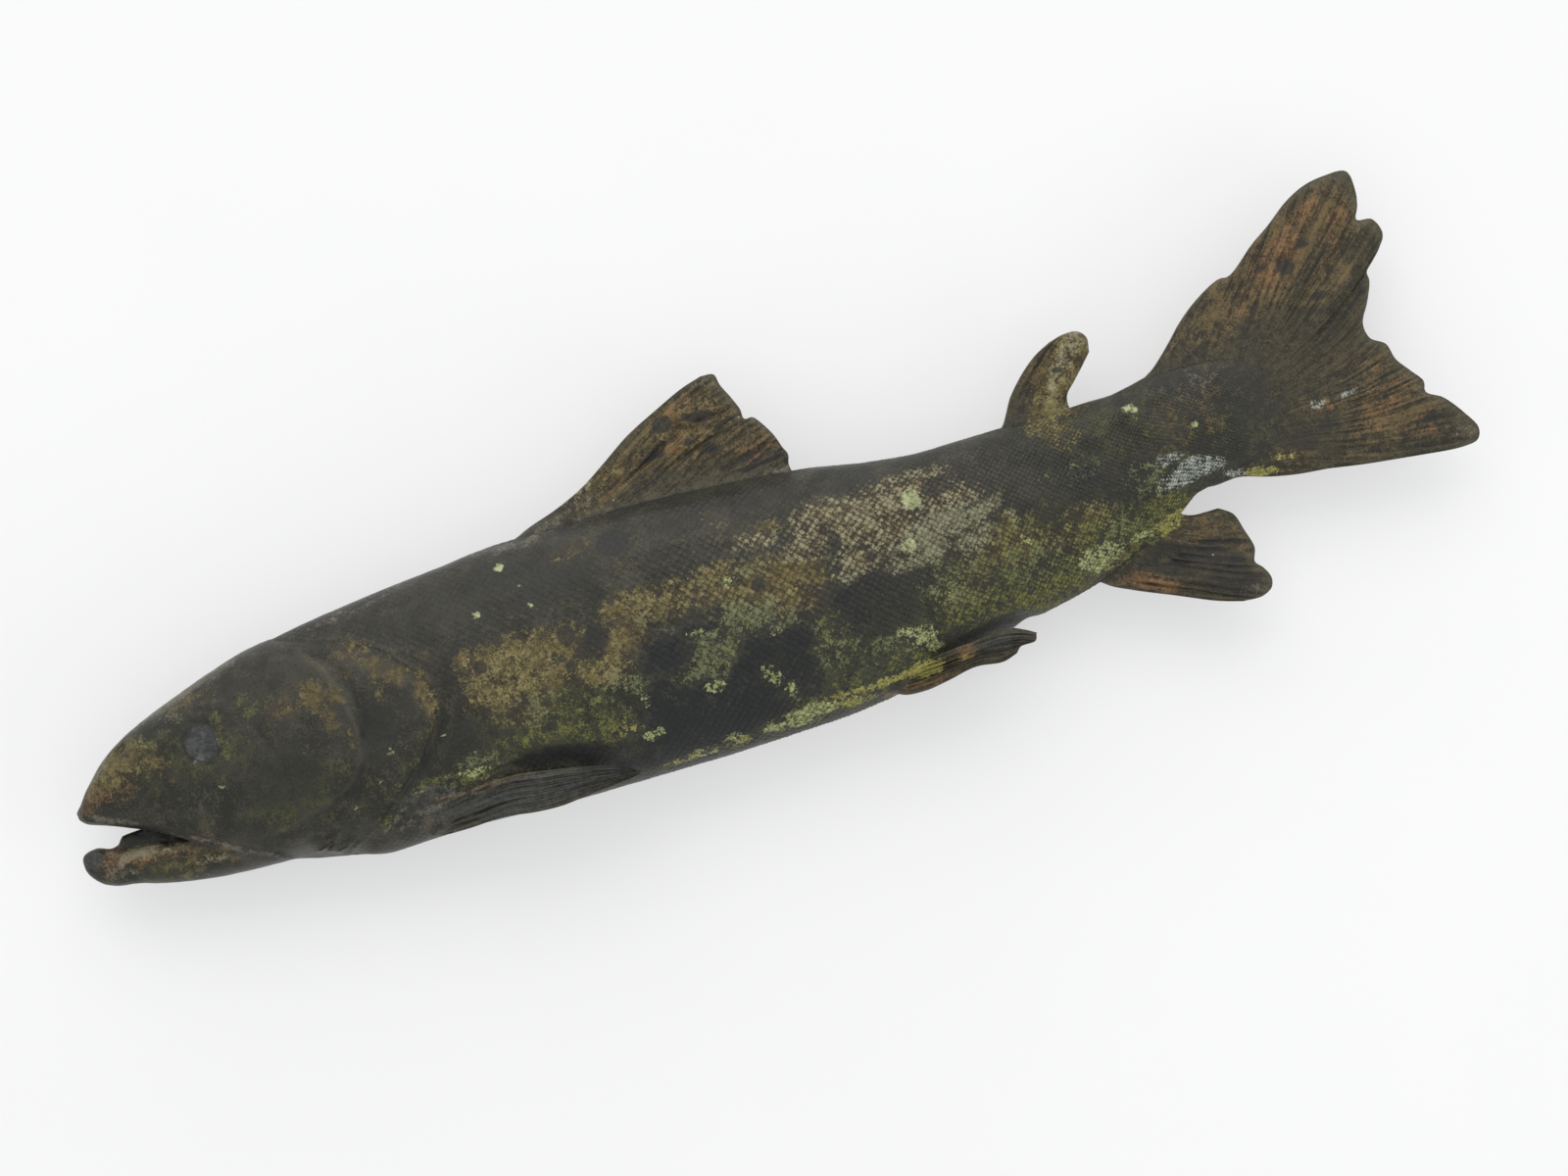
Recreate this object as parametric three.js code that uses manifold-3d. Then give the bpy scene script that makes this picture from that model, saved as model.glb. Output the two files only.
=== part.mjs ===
// Bronze fish figurine: a life-size trout, cast in one piece, lying on its right side.
// Millimetres. x runs from the snout to the tail and y from the belly to the back.
// z points up, out of the fish's left side, and z = 0 is the small flat that it rests on.

import * as THREE from "three";
import { mergeVertices } from "three/addons/utils/BufferGeometryUtils.js";
import Module from "manifold-3d";

const wasm = await Module();
wasm.setup();

// Driving dimensions
const MIDDLE = 18.5; // height of the fish's middle plane above the rest flat
const SNOUT = -184.4; // tip of the upper jaw
const CHIN = -186.4; // tip of the lower jaw
const HEAD_START = -128; // the scaled trunk starts here, inside the head
const TRUNK_END = 143; // the trunk thins out here, between the two faces of the tail fin
const JAW_REAR = -125; // the lower jaw ends here, inside the throat
const GILL_COVER = 1.3; // height of the gill cover's rear edge above the trunk
const NAPE_STEP = 0.35; // the same edge where it crosses the back and the throat
const COVER_RISE = { from: -165, to: -100 }; // the head swells up to those heights between here
const HEAD_CORE = [-112, -14]; // the head closes inside the trunk at this x and y
const JAW_CORE_Y = -33; // and the lower jaw at this height
const INNER_STEP = 0.15; // share of the way to the core that the gill cover's edge steps in

// An eye is a low dome, sunk below the cheek, in a socket that is wider by rim all round
const EYE = { x: -147, y: -5.1, wide: 4.4, high: 4.9, dome: 1.3, sunk: 0.6, rim: 1.1 };
const SOCKET_LIFT = 0.3; // the socket's cutter stands this far out of the cheek
const NOSTRIL = { x: -168.1, y: -1.5, long: 2.1, high: 0.8, deep: 1, lean: 0.55 };
// Rounded rim along the upper jaw. It sinks into the cheek by depth, and deeper at its rear.
const LIP = { from: -183, to: -143, radius: 0.9, depth: 0.2, rearDepth: 1.4 };

// Lines of the side view, as [x, y]
const BACK_LINE = [
  [SNOUT, -14.4], [-182.7, -12], [-180, -8.6], [-174, -2.8], [-167, 1.5], [-158, 5.3], [-146, 9.3],
  [-133, 12.8], [-118, 15.2], [-103, 17.2], [-85, 18.8], [-60, 20.7], [-30, 20.4],
  [0, 18.4], [18, 16.4], [35, 13.2], [50, 11.6], [75, 11.5], [98, 11.3], [105, 12.4],
  [112, 13.6], [128, 13.6], [TRUNK_END, 11],
];
const UNDER_LINE = [
  [SNOUT, -14.6], [-182.6, -17], [-178, -18.7], [-173, -20.7], [-166, -23.7], [-158, -28.5],
  [-148, -34.3], [-138, -39.5], [-130, -42.2], [-118, -44.8], [-109, -46.6], [-88, -46.2],
  [-60, -47.6], [-20, -48], [5, -47.5], [20, -46.4], [40, -43], [65, -37.3], [80, -34.2],
  [95, -28.8], [107, -23], [114, -18.8], [124, -17.6], [TRUNK_END, -17],
];
const JAW_TOP = [
  [CHIN, -26.3], [-185.3, -24.3], [-182, -23.6], [-178.4, -24.7], [-176.6, -24.4],
  [-174.7, -22.5], [-169.5, -22.2], [-162, -22.6], [-125, -24],
];
const JAW_UNDER = [
  [CHIN, -26.9], [-185, -30.8], [-182.5, -33.1], [-179, -34.5], [-174, -35.3], [-169, -36.9],
  [-160, -38.8], [-148, -40.3], [-135, -40.9], [-125, -41],
];

// Half widths, as [x, half width]
const HALF_WIDTH = [
  [SNOUT, 0], [-182.5, 3.4], [-178, 6], [-170, 8.6], [-160, 11], [-150, 12.8], [-138, 14.5],
  [-125, 15.8], [-108, 16.9], [-90, 17.8], [-65, 18.8], [-40, 19], [-10, 18.6], [20, 17.1],
  [50, 14.6], [75, 11.8], [98, 8.9], [112, 7], [128, 4.6], [TRUNK_END, 1.6],
];
const JAW_HALF_WIDTH = [
  [CHIN, 0], [-184.5, 2.6], [-180, 4.4], [-170, 6.2], [-160, 7.6], [-148, 9.8], [-135, 12.4],
  [-125, 13],
];

// How square the sections are: 2 is an ellipse, more is boxier
const SHOULDER_POWER = 2.15;
const BELLY_POWER = [
  [SNOUT, 2.2], [-178, 4], [-150, 5], [-132, 3.6], [-112, 2.3], [TRUNK_END, 2.2],
];
const JAW_POWER = 2.6;

// Rear edge of the gill cover, as [y, x] from the throat up to the nape
const GILL_EDGE = [
  [-46.5, -127], [-42, -118.8], [-38, -110.5], [-34.2, -105.3], [-27.7, -97.2],
  [-22.8, -92.2], [-17, -88.7], [-11, -86.7], [-6.5, -88.4], [-3.2, -91.2], [2.8, -96.8],
  [6.7, -102.5], [9.8, -110.7], [13, -121.2], [16, -127],
];

// Grooves: one along the cheek, as [x, y], and one behind the lower gill cover, between two
// heights. A radius is that of the round cutter.
const CHEEK_GROOVE = {
  path: [
    [-110.3, 3.8], [-107.7, -4.1], [-107.2, -14], [-108.4, -21.8], [-114, -27.1],
    [-123, -30.1],
  ],
  radius: 0.9,
};
const GILL_GROOVE = { from: -17, to: -41, behind: 0.9, above: 0.4, radius: 1.4 };

// Fins. Each is a sheet between four edges: the root inside the body, the leading ray,
// the trailing ray and the tips. Points are [x, y] or [x, y, height above the middle plane].
const DORSAL = {
  root: [[-62, 17], [5, 13]],
  lead: [
    [-62, 17], [-55, 21.6], [-45, 24.8], [-37, 28.1], [-30, 32.3], [-22, 37.4], [-13, 41.6],
    [-5, 45], [0.5, 46.5],
  ],
  tips: [
    [0.5, 46.5], [3.7, 46], [4.5, 43], [6.3, 39], [7.6, 35.5], [7.9, 32.9], [10, 32.7],
    [11.5, 31], [13.8, 27], [15.1, 23.3], [16.1, 21], [15.5, 18.6], [15.7, 16.6],
  ],
  trail: [[5, 13], [15.7, 16.6]],
  rays: 12,
  rows: 7,
  rootHalf: 2.6,
  tipHalf: 1.1,
  ridge: 0.4,
};
const ADIPOSE = {
  root: [[68, 8.5], [88, 8.5]],
  lead: [[68, 8.5], [71.2, 13.2], [74.5, 18.4], [80, 24], [84, 26.9], [88, 28.8]],
  tips: [[88, 28.8], [92, 29.7], [95.5, 29.4], [97.4, 27.3], [97, 23.5]],
  trail: [[88, 8.5], [88.4, 14.4], [91, 17.3], [94, 20.3], [97, 23.5]],
  rays: 4,
  rows: 5,
  rootHalf: 2.4,
  tipHalf: 1.2,
  ridge: 0.15,
};
const ANAL = {
  root: [[80, -30], [104, -20.5]],
  lead: [[80, -30], [84, -34.8], [90, -37.9], [100, -42.4], [110, -46.9], [116, -48.8]],
  tips: [
    [116, -48.8], [121, -49], [124, -47.5], [124.7, -45], [123.4, -42], [121.8, -40],
    [122.8, -36.5], [121.6, -31.5], [120.3, -26.8], [117, -24.2],
  ],
  trail: [[104, -20.5], [109.5, -23.8], [117, -24.2]],
  rays: 9,
  rows: 5,
  rootHalf: 2.4,
  tipHalf: 1.1,
  ridge: 0.4,
};
const TAIL = {
  root: [[103, 8], [119, 3], [123, -4], [119, -12], [112, -15]],
  lead: [
    [103, 8], [105.5, 12.5], [111, 14.8], [115, 18.8], [120, 23.9], [127, 28.6], [134, 31.6],
    [136.6, 31.5], [145, 37.8], [150, 41], [156, 45.4], [161.5, 48], [167, 48.9],
  ],
  tips: [
    [167, 48.9], [173, 48.4], [173.9, 43], [173.2, 39], [172, 35.8], [175.8, 34.8],
    [177.4, 30.5], [175, 26.6], [170.7, 22.3], [170.7, 20], [168.6, 15], [165.9, 10],
    [166.5, 6], [170, 3.3], [171.2, -1], [174, -5], [176.4, -8.5], [176.1, -11.3],
    [180, -14], [184.2, -19.6], [186.4, -24], [185.3, -26.8], [181, -27.5],
  ],
  trail: [
    [112, -15], [116, -18.4], [124, -18.2], [131, -20.3], [140, -22.1], [152, -22.9],
    [161, -24.2], [171, -26.4], [181, -27.5],
  ],
  rays: 18,
  rows: 9,
  rootHalf: 2.9,
  tipHalf: 1.1,
  ridge: 0.35,
};
const PECTORAL = {
  root: [[-106, -42, 4], [-100, -35, 8]],
  lead: [
    [-106, -42, 4], [-98, -45.6, 4.5], [-89, -46.1, 9], [-79, -45.7, 13], [-71, -46.8, 15.4],
    [-64, -47.2, 16.8], [-57, -46.6, 17.8], [-49, -45.9, 18.5], [-44, -45.4, 18.8],
  ],
  tips: [[-44, -45.4, 18.8], [-42.3, -44.8, 18.8], [-43.6, -44.3, 18.5]],
  trail: [
    [-100, -35, 8], [-94, -37.6, 12.4], [-84, -36.6, 14.4], [-75, -36.2, 15.6],
    [-67, -37.4, 16.2], [-57, -39.3, 16.8], [-49, -41.5, 17.8], [-43.6, -44.3, 18.5],
  ],
  rays: 4,
  rows: 9,
  rootHalf: 1.5,
  tipHalf: 0.8,
  ridge: 0.35,
};
const PELVIC = {
  root: [[21, -41.5, 3], [26, -37, 6]],
  lead: [
    [21, -41.5, 3], [25.3, -45.8, 5.5], [31.7, -46.6, 9], [37.6, -45.8, 10.6],
    [45.4, -44.4, 12], [52.3, -45.2, 13], [56.2, -44.1, 13.2],
  ],
  tips: [[56.2, -44.1, 13.2], [57.6, -42.8, 13.2], [61.6, -42.5, 13], [62.5, -40.6, 12.6]],
  trail: [
    [26, -37, 6], [30.2, -40.2, 8.8], [35.6, -39.2, 10], [44.5, -38.4, 11], [54.3, -37.9, 11.8],
    [59.3, -38.8, 12.3], [62.5, -40.6, 12.6],
  ],
  rays: 5,
  rows: 6,
  rootHalf: 1.5,
  tipHalf: 0.8,
  ridge: 0.35,
};
// The right fins lie closer to the body, clear of the ground, and are plainer
const TUCK = 0.84;
const HIDDEN = { rays: 3, rows: 5 };
const ROW_CROWD = 1.2; // a fin's rows lie closer toward its root
const THINNING = 0.7; // a fin thins quickly near its root, then slowly
const RIM_SHARE = 0.5; // thickness of a fin's rim beside the sheet within
const SNAP = 0.45; // share of a step that a place moves to reach a corner of its edge

// Coarseness of the small round parts
const TUBE = { sides: 5, steps: 9 };
const BALL = { around: 12, rings: 6 };
const GROUND = [400, 120, 20]; // the block below the rest flat that trims the right side

// A smooth line through [x, value] points. It is drawn over the root of the distance from
// the tip, so that a snout or a chin comes out round.
function smoothLine(points, tip) {
  const at = points.map(([x]) => Math.sqrt(Math.max(x - tip, 0)));
  const value = points.map((point) => point[1]);
  const secant = (i) => (value[i + 1] - value[i]) / (at[i + 1] - at[i]);
  const slope = value.map((_, i) => {
    if (i === 0) return secant(0);
    if (i === value.length - 1) return secant(i - 1);
    const before = secant(i - 1);
    const after = secant(i);
    return before * after <= 0 ? 0 : (2 * before * after) / (before + after);
  });
  return (x) => {
    const s = Math.sqrt(Math.max(x - tip, 0));
    let i = 0;
    while (i < at.length - 2 && s > at[i + 1]) i += 1;
    const step = at[i + 1] - at[i];
    const f = THREE.MathUtils.clamp((s - at[i]) / step, 0, 1);
    const ease = f * f * (3 - 2 * f);
    const lift = step * f * (1 - f);
    return (
      value[i] + ease * (value[i + 1] - value[i]) +
      lift * ((1 - f) * slope[i] - f * slope[i + 1])
    );
  };
}

// A straight-line reading between [key, value] points
function plainLine(points) {
  return (key) => {
    let i = 0;
    while (i < points.length - 2 && key > points[i + 1][0]) i += 1;
    const [[from, a], [to, b]] = [points[i], points[i + 1]];
    return THREE.MathUtils.mapLinear(THREE.MathUtils.clamp(key, from, to), from, to, a, b);
  };
}

const gillEdge = plainLine(GILL_EDGE);
const body = {
  top: smoothLine(BACK_LINE, SNOUT),
  under: smoothLine(UNDER_LINE, SNOUT),
  half: smoothLine(HALF_WIDTH, SNOUT),
  shoulder: () => SHOULDER_POWER,
  belly: plainLine(BELLY_POWER),
};
const jaw = {
  top: smoothLine(JAW_TOP, CHIN),
  under: smoothLine(JAW_UNDER, CHIN),
  half: smoothLine(JAW_HALF_WIDTH, CHIN),
  shoulder: () => JAW_POWER,
  belly: () => JAW_POWER,
};

// The point of a section at an angle around it, 0 at the left side and a quarter turn at the
// back, with the whole section made larger by swell.
function sectionPoint(form, x, angle, swell = 0) {
  const top = form.top(x) + swell;
  const under = form.under(x) - swell;
  const reach = (top - under) / 2;
  const up = Math.sin(angle);
  const out = Math.cos(angle);
  const power = 2 / (up > 0 ? form.shoulder(x) : form.belly(x));
  return new THREE.Vector3(
    x,
    (top + under) / 2 + reach * Math.sign(up) * Math.abs(up) ** power,
    MIDDLE + (form.half(x) + swell) * Math.sign(out) * Math.abs(out) ** power,
  );
}

// Height of the body's left face above the middle plane, over the side view's (x, y)
function bodyFace(x, y, swell) {
  const top = body.top(x) + swell;
  const under = body.under(x) - swell;
  const share = (2 * y - top - under) / (top - under);
  const power = share > 0 ? body.shoulder(x) : body.belly(x);
  return (body.half(x) + swell) * (1 - Math.min(Math.abs(share), 1) ** power) ** (1 / power);
}

// How far the head stands above the trunk's own surface: it grows toward the gill cover,
// and most on the sides.
function headSwell(x, angle) {
  const rise = THREE.MathUtils.smoothstep(x, COVER_RISE.from, COVER_RISE.to);
  const side = Math.abs(Math.cos(angle)) ** 0.8;
  return rise * THREE.MathUtils.lerp(NAPE_STEP, GILL_COVER, side);
}

// A closed body through rings of points. All rings have the same number of points, and each
// end closes on a single point.
function loft(rings, first, last) {
  const around = rings[0].length;
  const points = [first, ...rings.flat(), last];
  const faces = [];
  const at = (ring, k) => 1 + ring * around + (k % around);
  for (let k = 0; k < around; k += 1) {
    faces.push(0, at(0, k + 1), at(0, k));
    faces.push(points.length - 1, at(rings.length - 1, k), at(rings.length - 1, k + 1));
    for (let ring = 0; ring < rings.length - 1; ring += 1) {
      faces.push(at(ring, k), at(ring, k + 1), at(ring + 1, k));
      faces.push(at(ring, k + 1), at(ring + 1, k + 1), at(ring + 1, k));
    }
  }
  return mesh(points, faces);
}

function mesh(points, faces) {
  const geometry = new THREE.BufferGeometry();
  geometry.setAttribute(
    "position",
    new THREE.Float32BufferAttribute(points.flatMap((p) => [p.x, p.y, p.z]), 3),
  );
  geometry.setIndex(faces);
  return geometry;
}

function angles(count) {
  return Array.from({ length: count }, (_, k) => (2 * Math.PI * k) / count);
}

// Scaled trunk, from inside the head to between the faces of the tail fin
function trunk() {
  const RINGS = 32;
  const AROUND = 28;
  const CAPS = { front: 3, rear: 2 }; // how far the end points stand out
  const rings = [];
  for (let i = 0; i <= RINGS; i += 1) {
    const x = THREE.MathUtils.lerp(HEAD_START, TRUNK_END, i / RINGS);
    rings.push(angles(AROUND).map((angle) => sectionPoint(body, x, angle)));
  }
  const level = (x) => new THREE.Vector3(x, (body.top(x) + body.under(x)) / 2, MIDDLE);
  return loft(rings, level(HEAD_START - CAPS.front), level(TRUNK_END + CAPS.rear));
}

// Head with the upper jaw. Its last ring lies on the rear edge of the gill cover, then steps
// down inside the trunk.
function head() {
  const RINGS = 20;
  const AROUND = 32;
  const CROWD = 1.6; // more rings toward the snout
  const PASSES = 20; // each halves the distance to the gill cover's edge
  const rearmost = angles(AROUND).map((angle) => {
    let x = COVER_RISE.to;
    for (let pass = 0; pass < PASSES; pass += 1) {
      x = (x + gillEdge(sectionPoint(body, x, angle, headSwell(x, angle)).y)) / 2;
    }
    return x;
  });
  const rings = [];
  for (let i = 1; i <= RINGS; i += 1) {
    const share = (i / RINGS) ** CROWD;
    rings.push(
      angles(AROUND).map((angle, k) => {
        const x = THREE.MathUtils.lerp(SNOUT, rearmost[k], share);
        return sectionPoint(body, x, angle, headSwell(x, angle));
      }),
    );
  }
  const rim = rings.at(-1);
  const core = new THREE.Vector3(...HEAD_CORE, MIDDLE);
  rings.push(rim.map((point) => point.clone().lerp(core, INNER_STEP)));
  const tip = new THREE.Vector3(SNOUT, body.top(SNOUT), MIDDLE);
  return loft(rings, tip, core);
}

function lowerJaw() {
  const RINGS = 12;
  const AROUND = 14;
  const CROWD = 1.7;
  const CAP = 2; // how far the rear point stands out
  const rings = [];
  for (let i = 1; i <= RINGS; i += 1) {
    const x = THREE.MathUtils.lerp(CHIN, JAW_REAR, (i / RINGS) ** CROWD);
    rings.push(angles(AROUND).map((angle) => sectionPoint(jaw, x, angle)));
  }
  const tip = new THREE.Vector3(CHIN, jaw.top(CHIN), MIDDLE);
  return loft(rings, tip, new THREE.Vector3(JAW_REAR + CAP, JAW_CORE_Y, MIDDLE));
}

function tube(points, radius) {
  const outline = new THREE.Shape(
    angles(TUBE.sides).map(
      (angle) => new THREE.Vector2(radius * Math.cos(angle), radius * Math.sin(angle)),
    ),
  );
  return new THREE.ExtrudeGeometry(outline, {
    steps: TUBE.steps,
    extrudePath: new THREE.CatmullRomCurve3(points, false, "centripetal"),
  });
}

// The point over (x, y) on one side of the body, side 1 being the left, with the surface
// made larger by swell
function facePoint(x, y, side, swell) {
  return new THREE.Vector3(x, y, MIDDLE + side * bodyFace(x, y, swell));
}

// Rounded rim along the edge of the upper jaw. Its rear end sinks into the cheek.
function lip(side) {
  const path = Array.from({ length: TUBE.steps + 1 }, (_, i) => {
    const share = i / TUBE.steps;
    const x = THREE.MathUtils.lerp(LIP.from, LIP.to, share);
    const sink = LIP.depth + LIP.rearDepth * share ** 4;
    return facePoint(x, body.under(x) + LIP.radius, side, -sink);
  });
  return tube(path, LIP.radius);
}

// A flattened ball on one side of the head, turned to face out of the surface and moved
// out by lift. place holds its x, y and lean in the side view.
function ball(place, side, radii, lift) {
  const { x, y, lean = 0 } = place;
  const face = (dx, dy) => facePoint(x + dx, y + dy, side, headSwell(x, 0));
  const forward = face(-1, 0).sub(face(1, 0));
  const up = face(0, 1).sub(face(0, -1));
  const out = up.cross(forward).normalize().multiplyScalar(side);
  const turn = new THREE.Quaternion().setFromUnitVectors(new THREE.Vector3(0, 0, side), out);
  return new THREE.SphereGeometry(1, BALL.around, BALL.rings)
    .scale(...radii)
    .rotateZ(lean)
    .applyQuaternion(turn)
    .translate(...face(0, 0).addScaledVector(out, lift));
}

function eyeSocket(side) {
  return ball(EYE, side, [EYE.wide + EYE.rim, EYE.high + EYE.rim, EYE.dome], SOCKET_LIFT);
}

function eyeBall(side) {
  return ball(EYE, side, [EYE.wide, EYE.high, EYE.dome], -EYE.sunk);
}

function nostril(side) {
  return ball(NOSTRIL, side, [NOSTRIL.long, NOSTRIL.high, NOSTRIL.deep], 0);
}

function cheekGroove(side) {
  const path = CHEEK_GROOVE.path.map(([x, y]) => facePoint(x, y, side, GILL_COVER));
  return tube(path, CHEEK_GROOVE.radius);
}

function gillGroove(side) {
  const STEPS = 6;
  const path = Array.from({ length: STEPS + 1 }, (_, i) => {
    const y = THREE.MathUtils.lerp(GILL_GROOVE.from, GILL_GROOVE.to, i / STEPS);
    return facePoint(gillEdge(y) + GILL_GROOVE.behind, y, side, GILL_GROOVE.above);
  });
  return tube(path, GILL_GROOVE.radius);
}

// Places along a fin's edge, from 0 to 1, for count steps. They are even, or crowd toward
// the start, but each moves onto a corner of the edge beside it, so that notches stay sharp.
function edgeShares(edge, count, crowd = 1) {
  const FINE = 20;
  const lengths = edge.getLengths(FINE * (edge.points.length - 1));
  const corners = edge.points.map((_, i) => lengths[FINE * i] / lengths.at(-1));
  return Array.from({ length: count + 1 }, (_, step) => {
    const share = (step / count) ** crowd;
    return corners.find((corner) => Math.abs(corner - share) < SNAP / count) ?? share;
  });
}

// A fin's sheet, spanned between its four edges, with raised rays and thinner rims.
// side is 1 or -1 for the left or right fin of a pair, and 1 for a fin on the middle plane.
function fin(form, side = 1, tuck = 1) {
  const edge = (points) =>
    new THREE.CatmullRomCurve3(
      points.map(([x, y, z = 0]) => new THREE.Vector3(x, y, MIDDLE + side * tuck * z)),
      false,
      "centripetal",
    );
  const [root, lead, tips, trail] = [form.root, form.lead, form.tips, form.trail].map(edge);
  const columns = 2 * form.rays;
  const columnAt = edgeShares(tips, columns);
  const rowAt = edgeShares(lead, form.rows, ROW_CROWD);
  const across = trail.getPoint(0.5).sub(lead.getPoint(0.5));
  const along = tips.getPoint(0.5).sub(root.getPoint(0.5));
  const outward = across.cross(along).normalize();
  if (outward.z < 0) outward.negate();

  const middleAt = (u, v) => {
    const point = root.getPointAt(u).multiplyScalar(1 - v);
    point.addScaledVector(tips.getPointAt(u), v);
    point.addScaledVector(lead.getPointAt(v), 1 - u);
    point.addScaledVector(trail.getPointAt(v), u);
    point.addScaledVector(root.getPoint(0), -(1 - u) * (1 - v));
    point.addScaledVector(root.getPoint(1), -u * (1 - v));
    point.addScaledVector(tips.getPoint(0), -(1 - u) * v);
    return point.addScaledVector(tips.getPoint(1), -u * v);
  };
  const halfAt = (column, row) => {
    const v = rowAt[row];
    const sheet = THREE.MathUtils.lerp(form.rootHalf, form.tipHalf, v ** THINNING);
    const ray = column % 2 ? form.ridge : 0;
    const onRim = column === 0 || column === columns || row === form.rows;
    return (sheet + ray * (1 - v / 2)) * (onRim ? RIM_SHARE : 1);
  };

  const points = [];
  const faces = [];
  const size = (columns + 1) * (form.rows + 1);
  for (const face of [1, -1]) {
    for (let row = 0; row <= form.rows; row += 1) {
      for (let column = 0; column <= columns; column += 1) {
        const point = middleAt(columnAt[column], rowAt[row]);
        points.push(point.addScaledVector(outward, face * halfAt(column, row)));
      }
    }
  }
  const at = (row, column) => row * (columns + 1) + column;
  for (let row = 0; row < form.rows; row += 1) {
    for (let column = 0; column < columns; column += 1) {
      const [a, b] = [at(row, column), at(row, column + 1)];
      const [c, d] = [at(row + 1, column + 1), at(row + 1, column)];
      faces.push(a, b, c, a, c, d);
      faces.push(size + a, size + c, size + b, size + a, size + d, size + c);
    }
  }
  const rim = [];
  for (let column = 0; column < columns; column += 1) rim.push(at(0, column));
  for (let row = 0; row < form.rows; row += 1) rim.push(at(row, columns));
  for (let column = columns; column > 0; column -= 1) rim.push(at(form.rows, column));
  for (let row = form.rows; row > 0; row -= 1) rim.push(at(row, 0));
  rim.forEach((a, i) => {
    const b = rim[(i + 1) % rim.length];
    faces.push(a, size + a, b, b, size + a, size + b);
  });
  return mesh(points, faces);
}

// A solid for joining and cutting. A sheet built mirror-wise comes out inside out, so its
// faces are turned.
function solid(geometry) {
  const bare = geometry.clone();
  bare.deleteAttribute("normal");
  bare.deleteAttribute("uv");
  const merged = mergeVertices(bare);
  const triVerts = new Uint32Array(merged.index.array);
  const make = () =>
    new wasm.Manifold(
      new wasm.Mesh({
        numProp: 3,
        vertProperties: merged.attributes.position.array,
        triVerts,
      }),
    );
  const made = make();
  if (made.volume() > 0) return made;
  for (let i = 0; i < triVerts.length; i += 3) {
    [triVerts[i + 1], triVerts[i + 2]] = [triVerts[i + 2], triVerts[i + 1]];
  }
  return make();
}

function fish() {
  const sides = [1, -1];
  const joined = [
    trunk(),
    head(),
    lowerJaw(),
    fin(DORSAL),
    fin(ADIPOSE),
    fin(ANAL),
    fin(TAIL),
    fin(PECTORAL, 1),
    fin({ ...PECTORAL, ...HIDDEN }, -1, TUCK),
    fin(PELVIC, 1),
    fin({ ...PELVIC, ...HIDDEN }, -1, TUCK),
    ...sides.map(lip),
  ];
  const cut = sides.flatMap((side) => [
    eyeSocket(side),
    nostril(side),
    cheekGroove(side),
    gillGroove(side),
  ]);
  const ground = new THREE.BoxGeometry(...GROUND).translate(0, 0, -GROUND[2] / 2);

  let shape = joined.map(solid).reduce((all, next) => all.add(next));
  shape = [...cut, ground].map(solid).reduce((all, next) => all.subtract(next), shape);
  shape = sides.map((side) => solid(eyeBall(side))).reduce((all, next) => all.add(next), shape);

  const { vertProperties, triVerts } = shape.getMesh();
  const geometry = new THREE.BufferGeometry();
  geometry.setAttribute("position", new THREE.BufferAttribute(vertProperties, 3));
  geometry.setIndex(new THREE.BufferAttribute(triVerts, 1));
  const faceted = geometry.toNonIndexed();
  faceted.computeVertexNormals();
  return faceted;
}

const bronze = new THREE.MeshStandardMaterial({
  color: 0x3e3a32,
  roughness: 0.62,
  metalness: 0.75,
});

const figurine = new THREE.Group();
const casting = new THREE.Mesh(fish(), bronze);
casting.name = "fish";
figurine.add(casting);

export default figurine;
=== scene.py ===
"""Looks of the bronze fish figurine: the scaled, patinated casting, the floor, light and camera."""

import functools
import math

import bpy
import numpy as np
from mathutils import Matrix, Vector
from mathutils.kdtree import KDTree


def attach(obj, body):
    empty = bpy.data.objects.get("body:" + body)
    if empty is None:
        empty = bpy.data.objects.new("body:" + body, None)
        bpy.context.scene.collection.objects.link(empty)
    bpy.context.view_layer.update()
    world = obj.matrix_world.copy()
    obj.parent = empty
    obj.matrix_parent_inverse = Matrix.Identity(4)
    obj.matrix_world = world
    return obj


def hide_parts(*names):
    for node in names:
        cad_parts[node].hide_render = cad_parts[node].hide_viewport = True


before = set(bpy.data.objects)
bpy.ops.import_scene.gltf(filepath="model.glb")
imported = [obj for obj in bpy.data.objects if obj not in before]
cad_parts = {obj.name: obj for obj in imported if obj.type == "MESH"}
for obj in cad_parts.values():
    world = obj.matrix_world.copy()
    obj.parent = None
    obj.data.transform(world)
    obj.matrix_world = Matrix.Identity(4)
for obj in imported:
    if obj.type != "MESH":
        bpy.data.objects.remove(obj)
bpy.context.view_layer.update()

MM = 0.001  # the shapes below are in millimetres, and Blender's objects in metres
RANDOM = np.random.default_rng(7)

# Sizes of the casting, as in the solid: x runs from the snout to the tail, y from the belly
# to the back, and z up out of the left side.
MIDDLE = 18.5  # height of the fish's middle plane
SNOUT = -184.4
CHIN = -186.4
HEAD_START = -128
TRUNK_END = 143
HEAD_CORE = (-112, -14, MIDDLE)  # where the head's skin closes inside the trunk
JAW_REAR = -125
HEAD_GRID, JAW_GRID = (68, 122), (32, 76)  # columns on one side, and rings
CROWD = 1.3  # how the rings crowd towards the snout and the chin
GILL_COVER, NAPE_STEP = 1.3, 0.35  # how far the head stands over the trunk
SWELL_FROM, SWELL_TO = -165, -100  # x over which it rises to that
EYE = {"x": -146.5, "y": -5.9, "wide": 4.4, "high": 4.9, "dome": 1.3, "sunk": 1.5, "back": 0.9}
EYE_OPENING = (4.5, 5)  # half its length and height, as the camera sees it
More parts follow.
